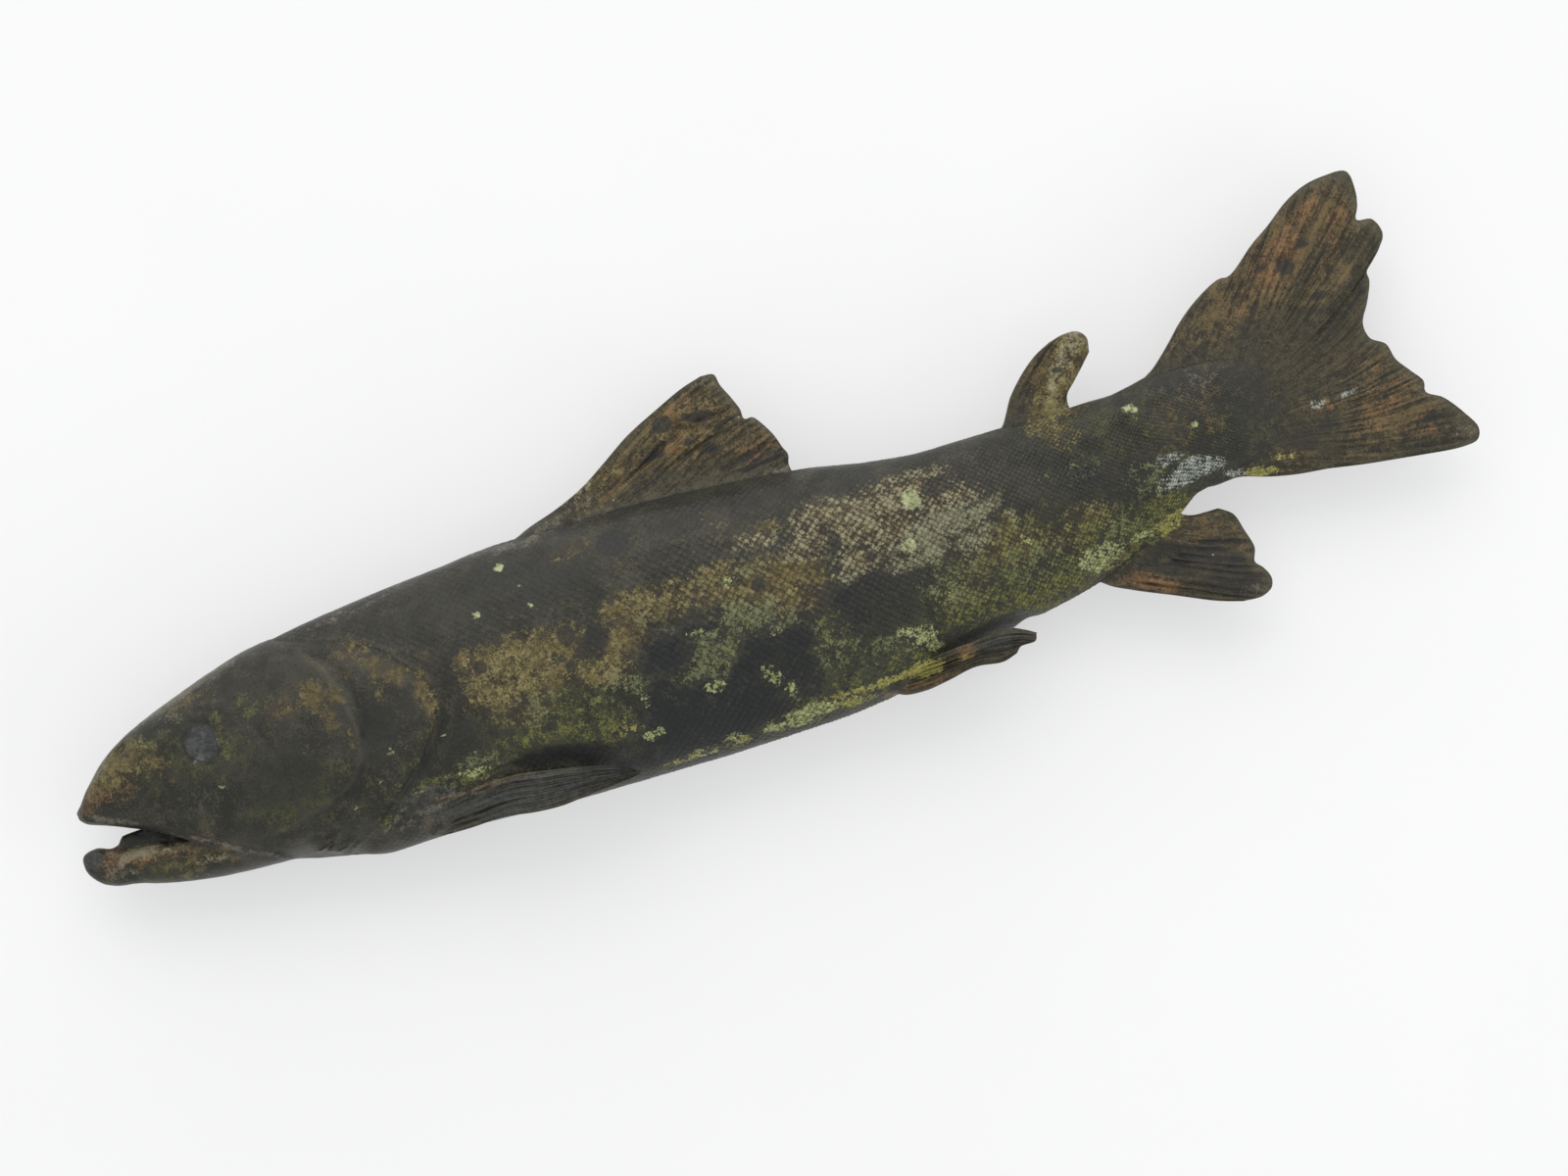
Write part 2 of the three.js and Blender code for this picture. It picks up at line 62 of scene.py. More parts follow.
# Ridge and groove around the eye: height, and where and how wide as shares of the opening
EYE_RIDGE, EYE_GROOVE = (0.22, 1.4, 0.25), (-0.35, 1.05, 0.12)
NOSTRIL = {"x": -168.1, "y": -1.5, "long": 2.1, "high": 0.8, "deep": 1, "lean": 0.55}
LIP = {"from": -183, "to": -143, "radius": 0.9}

# Lines of the side view, as (x, y)
BACK_LINE = [
    (SNOUT, -14.4), (-182.7, -12), (-180, -8.6), (-174, -2.8), (-167, 1.5), (-158, 5.3),
    (-146, 9.3), (-133, 12.8), (-118, 15.2), (-103, 17.2), (-85, 18.8), (-60, 20.7),
    (-30, 20.4), (0, 18.4), (18, 16.4), (35, 13.2), (50, 11.6), (75, 11.5), (98, 11.3),
    (105, 12.4), (112, 13.6), (128, 13.6), (TRUNK_END, 11),
]
UNDER_LINE = [
    (SNOUT, -14.6), (-182.6, -17), (-178, -18.7), (-173, -20.7), (-166, -23.7), (-158, -28.5),
    (-148, -34.3), (-138, -39.5), (-130, -42.2), (-118, -44.8), (-109, -46.6), (-88, -46.2),
    (-60, -47.6), (-20, -48), (5, -47.5), (20, -46.4), (40, -43), (65, -37.3), (80, -34.2),
    (95, -28.8), (107, -23), (114, -18.8), (124, -17.6), (TRUNK_END, -17),
]
JAW_TOP = [
    (CHIN, -26.3), (-185.3, -24.3), (-182, -23.6), (-178.4, -24.7), (-176.6, -24.4),
    (-174.7, -22.5), (-169.5, -22.2), (-162, -22.6), (-125, -24),
]
JAW_UNDER = [
    (CHIN, -26.9), (-185, -30.8), (-182.5, -33.1), (-179, -34.5), (-174, -35.3), (-169, -36.9),
    (-160, -38.8), (-148, -40.3), (-135, -40.9), (-125, -41),
]

# Half widths, as (x, half width)
HALF_WIDTH = [
    (SNOUT, 0), (-182.5, 3.4), (-178, 6), (-170, 8.6), (-160, 11), (-150, 12.8), (-138, 14.5),
    (-125, 15.8), (-108, 16.9), (-90, 17.8), (-65, 18.8), (-40, 19), (-10, 18.6), (20, 17.1),
    (50, 14.6), (75, 11.8), (98, 8.9), (112, 7), (128, 4.6), (TRUNK_END, 1.6),
]
JAW_HALF_WIDTH = [
    (CHIN, 0), (-184.5, 2.6), (-180, 4.4), (-170, 6.2), (-160, 7.6), (-148, 9.8), (-135, 12.4),
    (-125, 13),
]
SHOULDER_POWER = 2.15
BELLY_POWER = [
    (SNOUT, 2.2), (-178, 4), (-150, 5), (-132, 3.6), (-112, 2.3), (TRUNK_END, 2.2),
]
JAW_POWER = 2.6

# Rear edge of the gill cover, as (y, x) from the throat up to the nape
GILL_EDGE = [
    (-46.5, -127), (-42, -118.8), (-38, -110.5), (-34.2, -105.3), (-27.7, -97.2),
    (-22.8, -91.6), (-17, -87.8), (-11, -85.9), (-6.5, -87.5), (-3.2, -90.4), (2.8, -96.4),
    (6.7, -102.5), (9.8, -110.7), (13, -121.2), (16, -127),
]

# Dark folds across the dorsal fin, as the camera sees them
DORSAL_FOLDS = [
    [(-2, 20.2), (5, 20.6), (15.5, 22)], [(-5, 22.6), (3, 23.4), (15, 25)],
    [(-16, 25), (-8, 28.4), (1, 31)], [(-27, 25), (-18, 30), (-8, 34.4), (5, 37)],
]

# Fins, each a sheet between four edges, as in the solid
DORSAL = {
    "root": [(-62, 17), (5, 13)],
    "lead": [
        (-62, 17), (-55, 21.6), (-45, 24.8), (-37, 28.1), (-30, 32.3), (-22, 37.4), (-13, 41.6),
        (-5, 45), (0.5, 46.5),
    ],
    "tips": [
        (0.5, 46.5), (3.7, 46), (4.5, 43), (6.3, 39), (7.6, 35.5), (7.9, 32.9), (10, 32.7),
        (11.5, 31), (13.8, 27), (15.1, 23.3), (16.1, 21), (15.5, 18.6), (15.7, 16.6),
    ],
    "trail": [(5, 13), (15.7, 16.6)],
    "rays": 20, "rows": 40, "root_half": 2.6, "tip_half": 1.1, "ridge": 0.2, "fork": 0.3,
    "folds": DORSAL_FOLDS,
}
ADIPOSE = {
    "root": [(68, 8.5), (88, 8.5)],
    "lead": [(68, 8.5), (71.2, 13.2), (74.5, 18.4), (80, 24), (84, 26.9), (88, 28.8)],
    "tips": [(88, 28.8), (92, 29.7), (95.5, 29.4), (97.4, 27.3), (97, 23.5)],
    "trail": [(88, 8.5), (88.4, 14.4), (91, 17.3), (94, 20.3), (97, 23.5)],
    "rays": 8, "rows": 26, "root_half": 2.4, "tip_half": 1.2, "ridge": 0.14, "fork": 0,
}
ANAL = {
    "root": [(80, -30), (104, -20.5)],
    "lead": [(80, -30), (84, -34.8), (90, -37.9), (100, -42.4), (110, -46.9), (116, -48.8)],
    "tips": [
        (116, -48.8), (121, -49), (124, -47.5), (124.7, -45), (123.4, -42), (121.8, -40),
        (122.8, -36.5), (121.6, -31.5), (120.3, -26.8), (117, -24.2),
    ],
    "trail": [(104, -20.5), (109.5, -23.8), (117, -24.2)],
    "rays": 13, "rows": 30, "root_half": 2.4, "tip_half": 1.1, "ridge": 0.36, "fork": 0.3,
}
TAIL = {
    "root": [(103, 8), (119, 4.5), (130, 1), (131, -3), (119, -12), (112, -15)],
    "lead": [(103, 8), (105.5, 11.4), (110.6, 13.6)],
    "tips": [
        (110.6, 13.6), (115.2, 17.2), (120, 22.8), (127, 28.2), (134, 31.6), (136.6, 31.5),
        (145, 37.8), (150, 41), (156, 45.4), (161.5, 48), (167, 48.9), (173, 48.4),
        (173.9, 43), (173.2, 39), (172, 35.8), (175.8, 34.8), (177.4, 30.5), (175, 26.6),
        (170.7, 22.3), (170.7, 20), (168.6, 15), (165.9, 10), (166.5, 6), (170, 3.3),
        (171.2, -1), (174, -5), (176.4, -8.5), (176.1, -11.3), (180, -14), (184.2, -19.6),
        (186.4, -24), (185.3, -26.8), (181, -27.5), (171, -26.4), (161, -24.2), (152, -22.9),
    ],
    "trail": [(112, -15), (116, -18.4), (124, -18.2), (131, -20.3), (140, -22.1), (152, -22.9)],
    # How the rays divide the root and the tips, as (ray, root, tips), each a share of the whole
    "spread": [
        (0, 0, 0), (0.26, 0.5, 0.365), (0.45, 0.53, 0.5), (0.58, 0.57, 0.61), (0.93, 0.86, 0.83),
        (1, 1, 1),
    ],
    "bend": [(0, 0), (0.26, 0.4), (0.5, 2.6), (0.75, 1), (1, 0)],
    "rays": 64, "rows": 34, "root_half": 2.9, "tip_half": 1.1, "ridge": 0.15, "fork": 0.15,
}
PECTORAL = {
    "root": [(-106, -42, 4), (-100, -35, 8)],
    "lead": [
        (-106, -42, 4), (-98, -45.6, 4.5), (-89, -46.1, 9), (-79, -45.7, 13), (-71, -46.8, 15.4),
        (-64, -47.2, 16.8), (-57, -46.6, 17.8), (-49, -45.9, 18.5), (-44, -45.4, 18.8),
    ],
    "tips": [(-44, -45.4, 18.8), (-42.3, -44.8, 18.8), (-43.6, -44.3, 18.5)],
    "trail": [
        (-100, -35, 8), (-94, -37.6, 12.4), (-84, -36.6, 14.4), (-75, -36.2, 15.6),
        (-67, -37.4, 16.2), (-57, -39.3, 16.8), (-49, -41.5, 17.8), (-43.6, -44.3, 18.5),
    ],
    "rays": 7, "rows": 48, "root_half": 1.5, "tip_half": 0.8, "ridge": 0.4, "fork": 0.75,
}
PELVIC = {
    "root": [(21, -41.5, 3), (26, -37, 6)],
    "lead": [
        (21, -41.5, 3), (25.3, -45.8, 5.5), (31.7, -46.6, 9), (37.6, -45.8, 10.6),
        (45.4, -44.4, 12), (52.3, -45.2, 13), (56.2, -44.1, 13.2),
    ],
    "tips": [(56.2, -44.1, 13.2), (57.6, -42.8, 13.2), (61.6, -42.5, 13), (62.5, -40.6, 12.6)],
    "trail": [
        (26, -37, 6), (30.2, -40.2, 8.8), (35.6, -39.2, 10), (44.5, -38.4, 11),
        (54.3, -37.9, 11.8), (59.3, -38.8, 12.3), (62.5, -40.6, 12.6),
    ],
    "rays": 7, "rows": 32, "root_half": 1.5, "tip_half": 0.8, "ridge": 0.4, "fork": 0.75,
}
TUCK = 0.84  # the hidden right fins lie closer to the body
RAYS_APART = 100  # between two fins' ray numbers

# Scales: diamonds in rows that cross, each a low lump
SCALE_LENGTH = 2.15  # along the body at its deepest
SCALES_A_SIDE = 38  # from the back to the belly on one side
SCALE_SHRINK = [
    (HEAD_START, 1.02), (-40, 1.05), (25, 0.98), (60, 0.78), (100, 0.64), (TRUNK_END, 0.58),
]  # their length at x, as a share of that
SCALE_HEIGHT = 0.26
SCALE_STRAY = 0.5  # how far the rows of scales wander
STRAY_GIRTH = 24  # radius of the girth that they wander along
SCALES_FADE = (124, 140)  # x where they die out on the tail's root
SCALES_DEEPEN = (-70, 5)  # x where their relief grows from a quarter to the whole
BACK_FADE = (3, 12)  # y where it sinks to a half towards the back

# The photograph's camera looks straight down on the middle plane
CAMERA_DISTANCE = 944.4
VIEW_CENTRE = (5.0, -11.35)

# Depth of the dip behind the gill cover, as (y, depth)
GILL_DIP = [(-44, 0), (-36, 0.5), (-24, 0.8), (-10, 0.45), (-2, 0.3), (8, 0)]
# Rim of the lower jaw around the mouth, as (x, y)
JAW_RIM = [(-181, -25.4), (-176, -26.6), (-169, -27.4), (-160, -28.4)]
MOUTH_FROM, MOUTH_TO = -181, -177  # x over which the mouth's hollow opens inside it
MOUTH_DEPTH = 0.62  # share of the jaw's half width

# Carved lines of the left side, as the camera sees them: (x, y)
PREOPERCLE = [
    (-115, 7), (-112, 2), (-110.2, -4), (-109.2, -11), (-109.2, -17), (-110.4, -22),
    (-113.5, -26.2), (-118.5, -29.2), (-125, -31.3), (-133, -33),
]
GILL_RIM = [(-114, 9.6), (-106, 7.4), (-100, 3.6), (-95, -1), (-91.5, -6), (-90, -12)]
GILL_VALLEY = [(-87.2, -13), (-90.4, -20), (-94.8, -26.2), (-100.6, -31.6), (-107, -35)]
THROAT_FOLDS = [
    [(-129, -37.6), (-122, -39.6), (-115, -40.2), (-107, -38)],
    [(-127, -40.4), (-119, -42.6), (-112, -43.4)],
]
CHEEK_FOLD = [(-139, -2), (-133, -8), (-131, -16), (-134, -24), (-141, -29)]
BROW = [(-157, 2.4), (-150, 4), (-143, 2.6), (-139, -1)]
LIP_FOLD = [(-166, -21.2), (-158, -25.2), (-149, -30.6), (-141, -35.6)]
JAW_RIDGE = [(-167, -21.8), (-160, -25), (-152, -29.8), (-145, -34), (-137, -38.6)]
CHEEK_HOLLOW = [(-166, -18.6), (-156, -22.8), (-147, -28.6), (-139, -33.6)]
JAW_FOLD = [(-178, -31.6), (-171, -31.4), (-165, -32.6), (-157, -35.6), (-148, -37.4)]
PECTORAL_LEDGES = [
    [(-101, -34.4), (-92, -33), (-83, -32.6), (-73, -32.8)],
    [(-92, -35.4), (-84, -35.6), (-75, -35.9)],
]
PECTORAL_HOLLOW = [(-73, -34.4), (-64, -35.8), (-55, -38.4), (-47.5, -42.4)]
PELVIC_HOLLOW = [(36, -38.2), (44, -36.8), (53, -36.4), (62, -37.8)]
# Plates of the gill cover, above the first two lines
GILL_PLATE = {"rise": 0.8, "run": 8, "edge": 1.4}
RIM_PLATE = {"rise": 0.3, "run": 5, "edge": 1.8}
# Grooves of each part as (line, depth, width), and ridges where the depth is negative
TRUNK_GROOVES = [
    *((line, -0.55, 0.9) for line in PECTORAL_LEDGES), (PECTORAL_HOLLOW, 1.1, 3.2),
    (PELVIC_HOLLOW, 1.1, 2.6),
]
HEAD_GROOVES = [
    (JAW_RIDGE, -0.55, 0.9), (CHEEK_HOLLOW, 0.3, 1.6), (CHEEK_FOLD, 0.25, 2.2),
    (BROW, -0.4, 1.8), (LIP_FOLD, 0.45, 1.3), *((line, 0.45, 0.7) for line in THROAT_FOLDS),
]
JAW_GROOVE = (JAW_FOLD, 0.45, 0.8)
GILL_GROOVE = (GILL_VALLEY, 0.7, 2.2)
# Uneven skin of each part, as (height, size of the lumps, seed)
TRUNK_LUMPS = [(0.6, 11, 21)]
HEAD_LUMPS = [(0.5, 12, 61), (0.16, 2.6, 65)]
JAW_LUMPS = [(0.3, 7, 71), (0.14, 2.2, 75)]

# The skins that are joined, each with the width over which its seam is rounded
SEAM_WIDTHS = {
    "trunk": 0, "head": 0, "jaw": 1.1, "lip": 0.7, "eye": 0.3, "dorsal": 8, "adipose": 6,
    "anal": 7, "tail": 14, "pectoral": 1.8, "pelvic": 1.6,
}
SKINS = list(SEAM_WIDTHS)
FIRST_FIN = SKINS.index("dorsal")
MIDDLE_FINS = ("dorsal", "adipose", "anal", "tail")
# Width at the gill cover's edge, as (y, width), and y where the edge runs out into the nape
COVER_WIDTHS = [
    (-46, 8), (-36, 7), (-26, 4.5), (-16, 3.4), (-6, 3.4), (-1, 4.2), (5, 5.5), (12, 7),
]
COVER_TOP = (8, 13)
SEAM_ROUNDS = 130
HEIGHT_SHARE = 0.6  # heights even out at a seam, and the outline nearly stays
FIN_SHARE, COVER_SHARE = 0.008, 0.13  # how far a fin's outline and the cover's edge even out
STEEP_PULL, STEEP_SIZE = 0.4, 0.1  # how much more, and over how many mm, stacked points draw
SEAM_FADE = 2.2  # over which the relief comes back beside a seam
RAY_REACH = 14  # how far the fins' rays run on over the body


def smooth_line(points, tip=None):
    """A smooth line through (x, value) points. With a tip, it is drawn over the root of the
    distance from there, so that it starts square like a rounded end."""
    at = np.array([x for x, _ in points], float)
    if tip is not None:
        at = np.sqrt(np.maximum(at - tip, 0))
    value = np.array([v for _, v in points], float)
    secant = np.diff(value) / np.diff(at)
    slope = np.concatenate([secant[:1], np.zeros(len(value) - 2), secant[-1:]])
    before, after = secant[:-1], secant[1:]
    same_way = before * after > 0
    slope[1:-1][same_way] = (2 * before * after)[same_way] / (before + after)[same_way]

    def line(x):
        s = np.asarray(x, float)
        if tip is not None:
            s = np.sqrt(np.maximum(s - tip, 0))
        i = np.clip(np.searchsorted(at, s) - 1, 0, len(at) - 2)
        step = at[i + 1] - at[i]
        f = np.clip((s - at[i]) / step, 0, 1)
        ease = f * f * (3 - 2 * f)
        lift = step * f * (1 - f)
        rise = ease * (value[i + 1] - value[i])
        return value[i] + rise + lift * ((1 - f) * slope[i] - f * slope[i + 1])

    return line


def plain_line(points):
    """Straight lines through (key, value) points."""
    keys, values = zip(*points)
    return lambda key: np.interp(key, keys, values)


gill_edge = smooth_line(GILL_EDGE)
BODY = {
    "top": smooth_line(BACK_LINE, SNOUT),
    "under": smooth_line(UNDER_LINE, SNOUT),
    "half": smooth_line(HALF_WIDTH, SNOUT),
    "shoulder": lambda x: np.full(np.shape(x), SHOULDER_POWER),
    "belly": plain_line(BELLY_POWER),
}
JAW = {
    "top": smooth_line(JAW_TOP, CHIN),
    "under": smooth_line(JAW_UNDER, CHIN),
    "half": smooth_line(JAW_HALF_WIDTH, CHIN),
    "shoulder": lambda x: np.full(np.shape(x), JAW_POWER),
    "belly": lambda x: np.full(np.shape(x), JAW_POWER),
}


def smoothstep(value, low, high):
    """Rises smoothly from 0 at low to 1 at high."""
    f = np.clip((value - low) / (high - low), 0, 1)
    return f * f * (3 - 2 * f)


def rounded(points, fine=12):
    """A rounded curve through points, finely divided."""
    p = np.array(points, float)
    p = np.concatenate([[2 * p[0] - p[1]], p, [2 * p[-1] - p[-2]]])
    gap = np.linalg.norm(np.diff(p, axis=0), axis=1) ** 0.5
    h = (np.arange(fine) / fine)[:, None]
    pieces = []
    for i in range(1, len(p) - 2):
        before, here, after = gap[i - 1:i + 2]
        come, go, leave = (p[i + k] - p[i + k - 1] for k in range(3))
        out = come / before - (come + go) / (before + here) + go / here
        back = go / here - (go + leave) / (here + after) + leave / after
        bend = h * (1 - h) * here * ((1 - h) * out - h * back)
        pieces.append(p[i] + h * h * (3 - 2 * h) * go + bend)
    return np.concatenate([*pieces, p[-2:-1]])


def seen(points):
    """Places of points as the camera sees them, drawn on the middle plane. The right side
    reads as the left one would."""
    height = np.abs(points[:, 2] - MIDDLE)
    spread = CAMERA_DISTANCE / (CAMERA_DISTANCE - height)
    return VIEW_CENTRE + (points[:, :2] - VIEW_CENTRE) * spread[:, None]


def from_line(places, line, reach=12):
    """Distance of places from a rounded line, positive on its left, and far away past reach."""
    curve = rounded(line, 6)
    found = np.full(len(places), 1e3)
    low, high = curve.min(axis=0) - reach, curve.max(axis=0) + reach
    near = np.flatnonzero(((places > low) & (places < high)).all(axis=1))
    if len(near) == 0:
        return found
    p = places[near]
    best = np.full(len(near), 1e3)
    for a, b in zip(curve[:-1], curve[1:]):
        along = b - a
        share = np.clip(((p - a) @ along) / (along @ along), 0, 1)
        away = p - a - share[:, None] * along
        far = np.linalg.norm(away, axis=1)
        side = np.sign(along[0] * away[:, 1] - along[1] * away[:, 0])
        closer = far < np.abs(best)
        best[closer] = (far * np.where(side == 0, 1, side))[closer]
    found[near] = best
    return found


def groove(places, line, depth, width):
    """A rounded groove along a line, or a ridge where the depth is negative."""
    return -depth * np.exp(-(from_line(places, line) / width) ** 2)


def from_patch(places, x, y, long, wide, lean=0.0):
    """Distance of places from the middle of a leaning oval, 1 at its outline."""
    dx, dy = places[:, 0] - x, places[:, 1] - y
    return np.hypot(
        (dx * math.cos(lean) + dy * math.sin(lean)) / long,
        (dy * math.cos(lean) - dx * math.sin(lean)) / wide,
    )


def ledge(far, rise, run, edge):
    """A plate at a distance far to the left of its line. It stands up over the edge, along the
    line, and sinks back over the run."""
    return rise * smoothstep(far, -edge, edge) * np.exp(-np.maximum(far, 0) / run)


def section(form, x, angle, swell=0.0):
    """Points of the sections at x, at an angle around them: 0 is the left side and a quarter
    turn the back."""
    top = form["top"](x) + swell
    under = form["under"](x) - swell
    up, out = np.sin(angle), np.cos(angle)
    power = 2 / np.where(up > 0, form["shoulder"](x), form["belly"](x))
    y = (top + under) / 2 + (top - under) / 2 * np.sign(up) * np.abs(up) ** power
    z = MIDDLE + (form["half"](x) + swell) * np.sign(out) * np.abs(out) ** power
    return np.stack([x + 0 * angle, y, z], axis=-1)


def body_face(x, y, swell=0.0):
    """Height of the body's left face above the middle plane."""
    top = BODY["top"](x) + swell
    under = BODY["under"](x) - swell
    share = np.clip((2 * y - top - under) / (top - under), -1, 1)
    power = np.where(share > 0, BODY["shoulder"](x), BODY["belly"](x))
    return (BODY["half"](x) + swell) * (1 - np.abs(share) ** power) ** (1 / power)


def head_swell(x, angle):
    """How far the head stands over the trunk's form, least at the nape and under the throat."""
    rise = smoothstep(x, SWELL_FROM, SWELL_TO)
    side = np.abs(np.cos(angle)) ** 0.8
    low = smoothstep(-np.sin(angle), 0.5, 0.95)
    return rise * (NAPE_STEP + (GILL_COVER - NAPE_STEP) * side) * (1 - 0.75 * low)


def even_angles(form, x, shares):
    """Angles that divide each section's skin evenly from the back to the belly. x holds one
    place for each ring and shares run from 0 at the back to 1 at the belly."""
    fine = np.linspace(math.pi / 2, -math.pi / 2, 361)
    points = section(form, x[:, None] + 0 * fine, fine[None, :] + 0 * x[:, None])
    steps = np.linalg.norm(np.diff(points, axis=1), axis=2)
    length = np.concatenate([np.zeros((len(x), 1)), np.cumsum(steps, axis=1)], axis=1)
    length /= length[:, -1:]
    return np.stack([np.interp(shares, row, fine) for row in length])


def both_sides(half_angles, columns):
    """Angles all the way round from those of one side."""
    right = math.pi - half_angles[:, columns - 1:0:-1]
    return np.concatenate([half_angles, right], axis=1)


def noise(points, size, seed):
    """Smooth noise from 0 to 1 with lumps of the given size."""
    p = np.asarray(points, float) / size + 1000
    base = np.floor(p).astype(np.int64)
    f = p - base
    f = f * f * (3 - 2 * f)
    total = np.zeros(len(p))
    for dx, dy, dz in np.ndindex(2, 2, 2):
        x, y, z = base[:, 0] + dx, base[:, 1] + dy, base[:, 2] + dz
        # Large primes scatter the corners of the grid
        mixed = (x * 73856093) ^ (y * 19349663) ^ (z * 83492791) ^ (seed * 2654435761)
        mixed = (mixed ^ (mixed >> 13)) * 1274126177
        value = ((mixed ^ (mixed >> 16)) & 0xFFFF) / 0xFFFF
        weight = np.abs(1 - dx - f[:, 0]) * np.abs(1 - dy - f[:, 1])
        total += value * weight * np.abs(1 - dz - f[:, 2])
    return total


def cloud(points, size, seed):
    """Noise with three finer layers on it, each half as large and half as strong."""
    shares = 0.5 ** np.arange(4)
    layers = [noise(points, size * share, seed + k) * share for k, share in enumerate(shares)]
    return sum(layers) / shares.sum()


def lumps(points, layers):
    """Height of an uneven skin, from its layers of lumps."""
    return sum(height * (cloud(points, size, seed) - 0.5) for height, size, seed in layers)


RELIEF = ("relief_x", "relief_y", "relief_z")


class Shell:
    """A closed skin of the casting, before the skins are joined."""

    def __init__(self, points, faces, **marks):
        self.points = np.asarray(points, float)
        self.faces = np.asarray(faces)
        self.marks = marks
        a, b, c = (self.points[self.faces[:, k]] for k in range(3))
        if (a * np.cross(b, c)).sum() < 0:
            self.faces = self.faces[:, ::-1]  # every skin faces outwards
        self.relief = np.zeros_like(self.points)

    def normals(self):
        """The skin's direction at each point."""
        a, b, c = (self.points[self.faces[:, k]] for k in range(3))
        across = np.cross(b - a, c - a)
        total = np.zeros_like(self.points)
        for k in range(3):
            np.add.at(total, self.faces[:, k], across)
        return total / np.maximum(np.linalg.norm(total, axis=1, keepdims=True), 1e-12)

    def raise_by(self, height):
        """Lifts the skin, and keeps how far as its relief."""
        rise = self.normals() * np.asarray(height)[:, None]
        self.points += rise
        self.relief += rise


def closed_loft(rings, first, last):
    """Points and triangles of a closed body through rings of points. Each small square is cut
    so that the triangles' long sides run round every second point."""
    count, columns = rings.shape[:2]
    points = np.concatenate([[first], rings.reshape(-1, 3), [last]])
    ring, k = np.meshgrid(np.arange(count - 1), np.arange(columns), indexing="ij")
    a = 1 + ring * columns + k
    b = 1 + ring * columns + (k + 1) % columns
    c, d = b + columns, a + columns
    even = ((ring + k) % 2 == 0)[..., None]
    one = np.where(even, np.stack([a, d, b], -1), np.stack([a, d, c], -1))
    two = np.where(even, np.stack([d, c, b], -1), np.stack([a, c, b], -1))
    k = np.arange(columns)
    end, last_ring = len(points) - 1, 1 + (count - 1) * columns
    caps = [
        np.stack([0 * k, 1 + k, 1 + (k + 1) % columns], -1),
        np.stack([0 * k + end, last_ring + (k + 1) % columns, last_ring + k], -1),
    ]
    return points, np.concatenate([one.reshape(-1, 3), two.reshape(-1, 3), *caps])


def side_shares(columns):
    """Where a side's columns lie, from 0 at the back to 1 at the belly."""
    return np.arange(columns + 1) / columns


def trunk_relief(spot, hill):
    """Height of the trunk's scales, dips and ledges at its points, and its scales' strength."""
    places = seen(spot)
    height = SCALE_HEIGHT * (0.2 + 1.2 * cloud(spot, 16, 11)) * (0.5 + RANDOM.random(len(spot)))
    in_hollow = np.minimum(
        np.abs(from_line(places, PECTORAL_HOLLOW)), np.abs(from_line(places, PELVIC_HOLLOW))
    )
    strength = smoothstep(in_hollow, 2.5, 6) * (1 - smoothstep(spot[:, 0], *SCALES_FADE))
    strength *= 0.25 + 0.75 * smoothstep(spot[:, 0], *SCALES_DEEPEN)
    strength *= 1 - 0.5 * smoothstep(spot[:, 1], *BACK_FADE)
    height *= strength
    lift = height * (hill - 0.5) + lumps(spot, TRUNK_LUMPS)
    behind_gill = spot[:, 0] - gill_edge(spot[:, 1])
    lift -= plain_line(GILL_DIP)(spot[:, 1]) * np.exp(-((behind_gill - 0.9) / 1.8) ** 2)
    for line, depth, width in TRUNK_GROOVES:
        lift += groove(places, line, depth, width)
    return lift, strength


def trunk():
    """The scaled body from inside the head to the tail. Each point of its skin is the top of a
    scale or the bottom of a furrow."""
    columns = 2 * SCALES_A_SIDE
    shrink = smooth_line(SCALE_SHRINK)
    places = [HEAD_START]
    while places[-1] < TRUNK_END:
        places.append(places[-1] + SCALE_LENGTH / 2 * float(shrink(places[-1])))
    x = np.array(places)
    angle = both_sides(even_angles(BODY, x, side_shares(columns)), columns)
    even = section(BODY, x[:, None] + 0 * angle, angle).reshape(-1, 3)
    stray = [cloud(even, 5, seed).reshape(angle.shape) - 0.5 for seed in (12, 16)]
    stray = [part + 0.5 * (RANDOM.random(angle.shape) - 0.5) for part in stray]
    inner = smoothstep(np.abs(np.cos(angle)), 0.05, 0.3)
    rings = section(
        BODY, x[:, None] + SCALE_STRAY * stray[0],
        angle + inner * SCALE_STRAY * stray[1] / STRAY_GIRTH,
    )
    middle = (BODY["top"](x) + BODY["under"](x)) / 2
    ends = (x[0] - 3, middle[0], MIDDLE), (x[-1] + 2, middle[-1], MIDDLE)
    points, faces = closed_loft(rings, *ends)
    ring, column = np.meshgrid(np.arange(len(x)), np.arange(2 * columns), indexing="ij")
    fold = np.minimum(column, 2 * columns - column)
    hill, along, across = (
        np.concatenate([[0], values.ravel(), [0]])
        for values in ((ring + column) % 2 == 0, ring / 2, fold / 2)
    )
    shell = Shell(points, faces, scale_along=along, scale_across=across)
    lift, strength = trunk_relief(shell.points, hill)
    shell.raise_by(lift)
    shell.marks["furrow"] = (1 - hill) * strength
    return shell


def rear_of_head(shares):
    """Where the gill cover's rear edge crosses each column of the head's skin, found in steps
    that halve the rest of the way."""
    x = np.full(len(shares), float(SWELL_TO))
    for _ in range(24):
        angle = np.diagonal(even_angles(BODY, x, shares))
        point = section(BODY, x, angle, head_swell(x, angle))
        x = (x + gill_edge(point[:, 1])) / 2
    return x


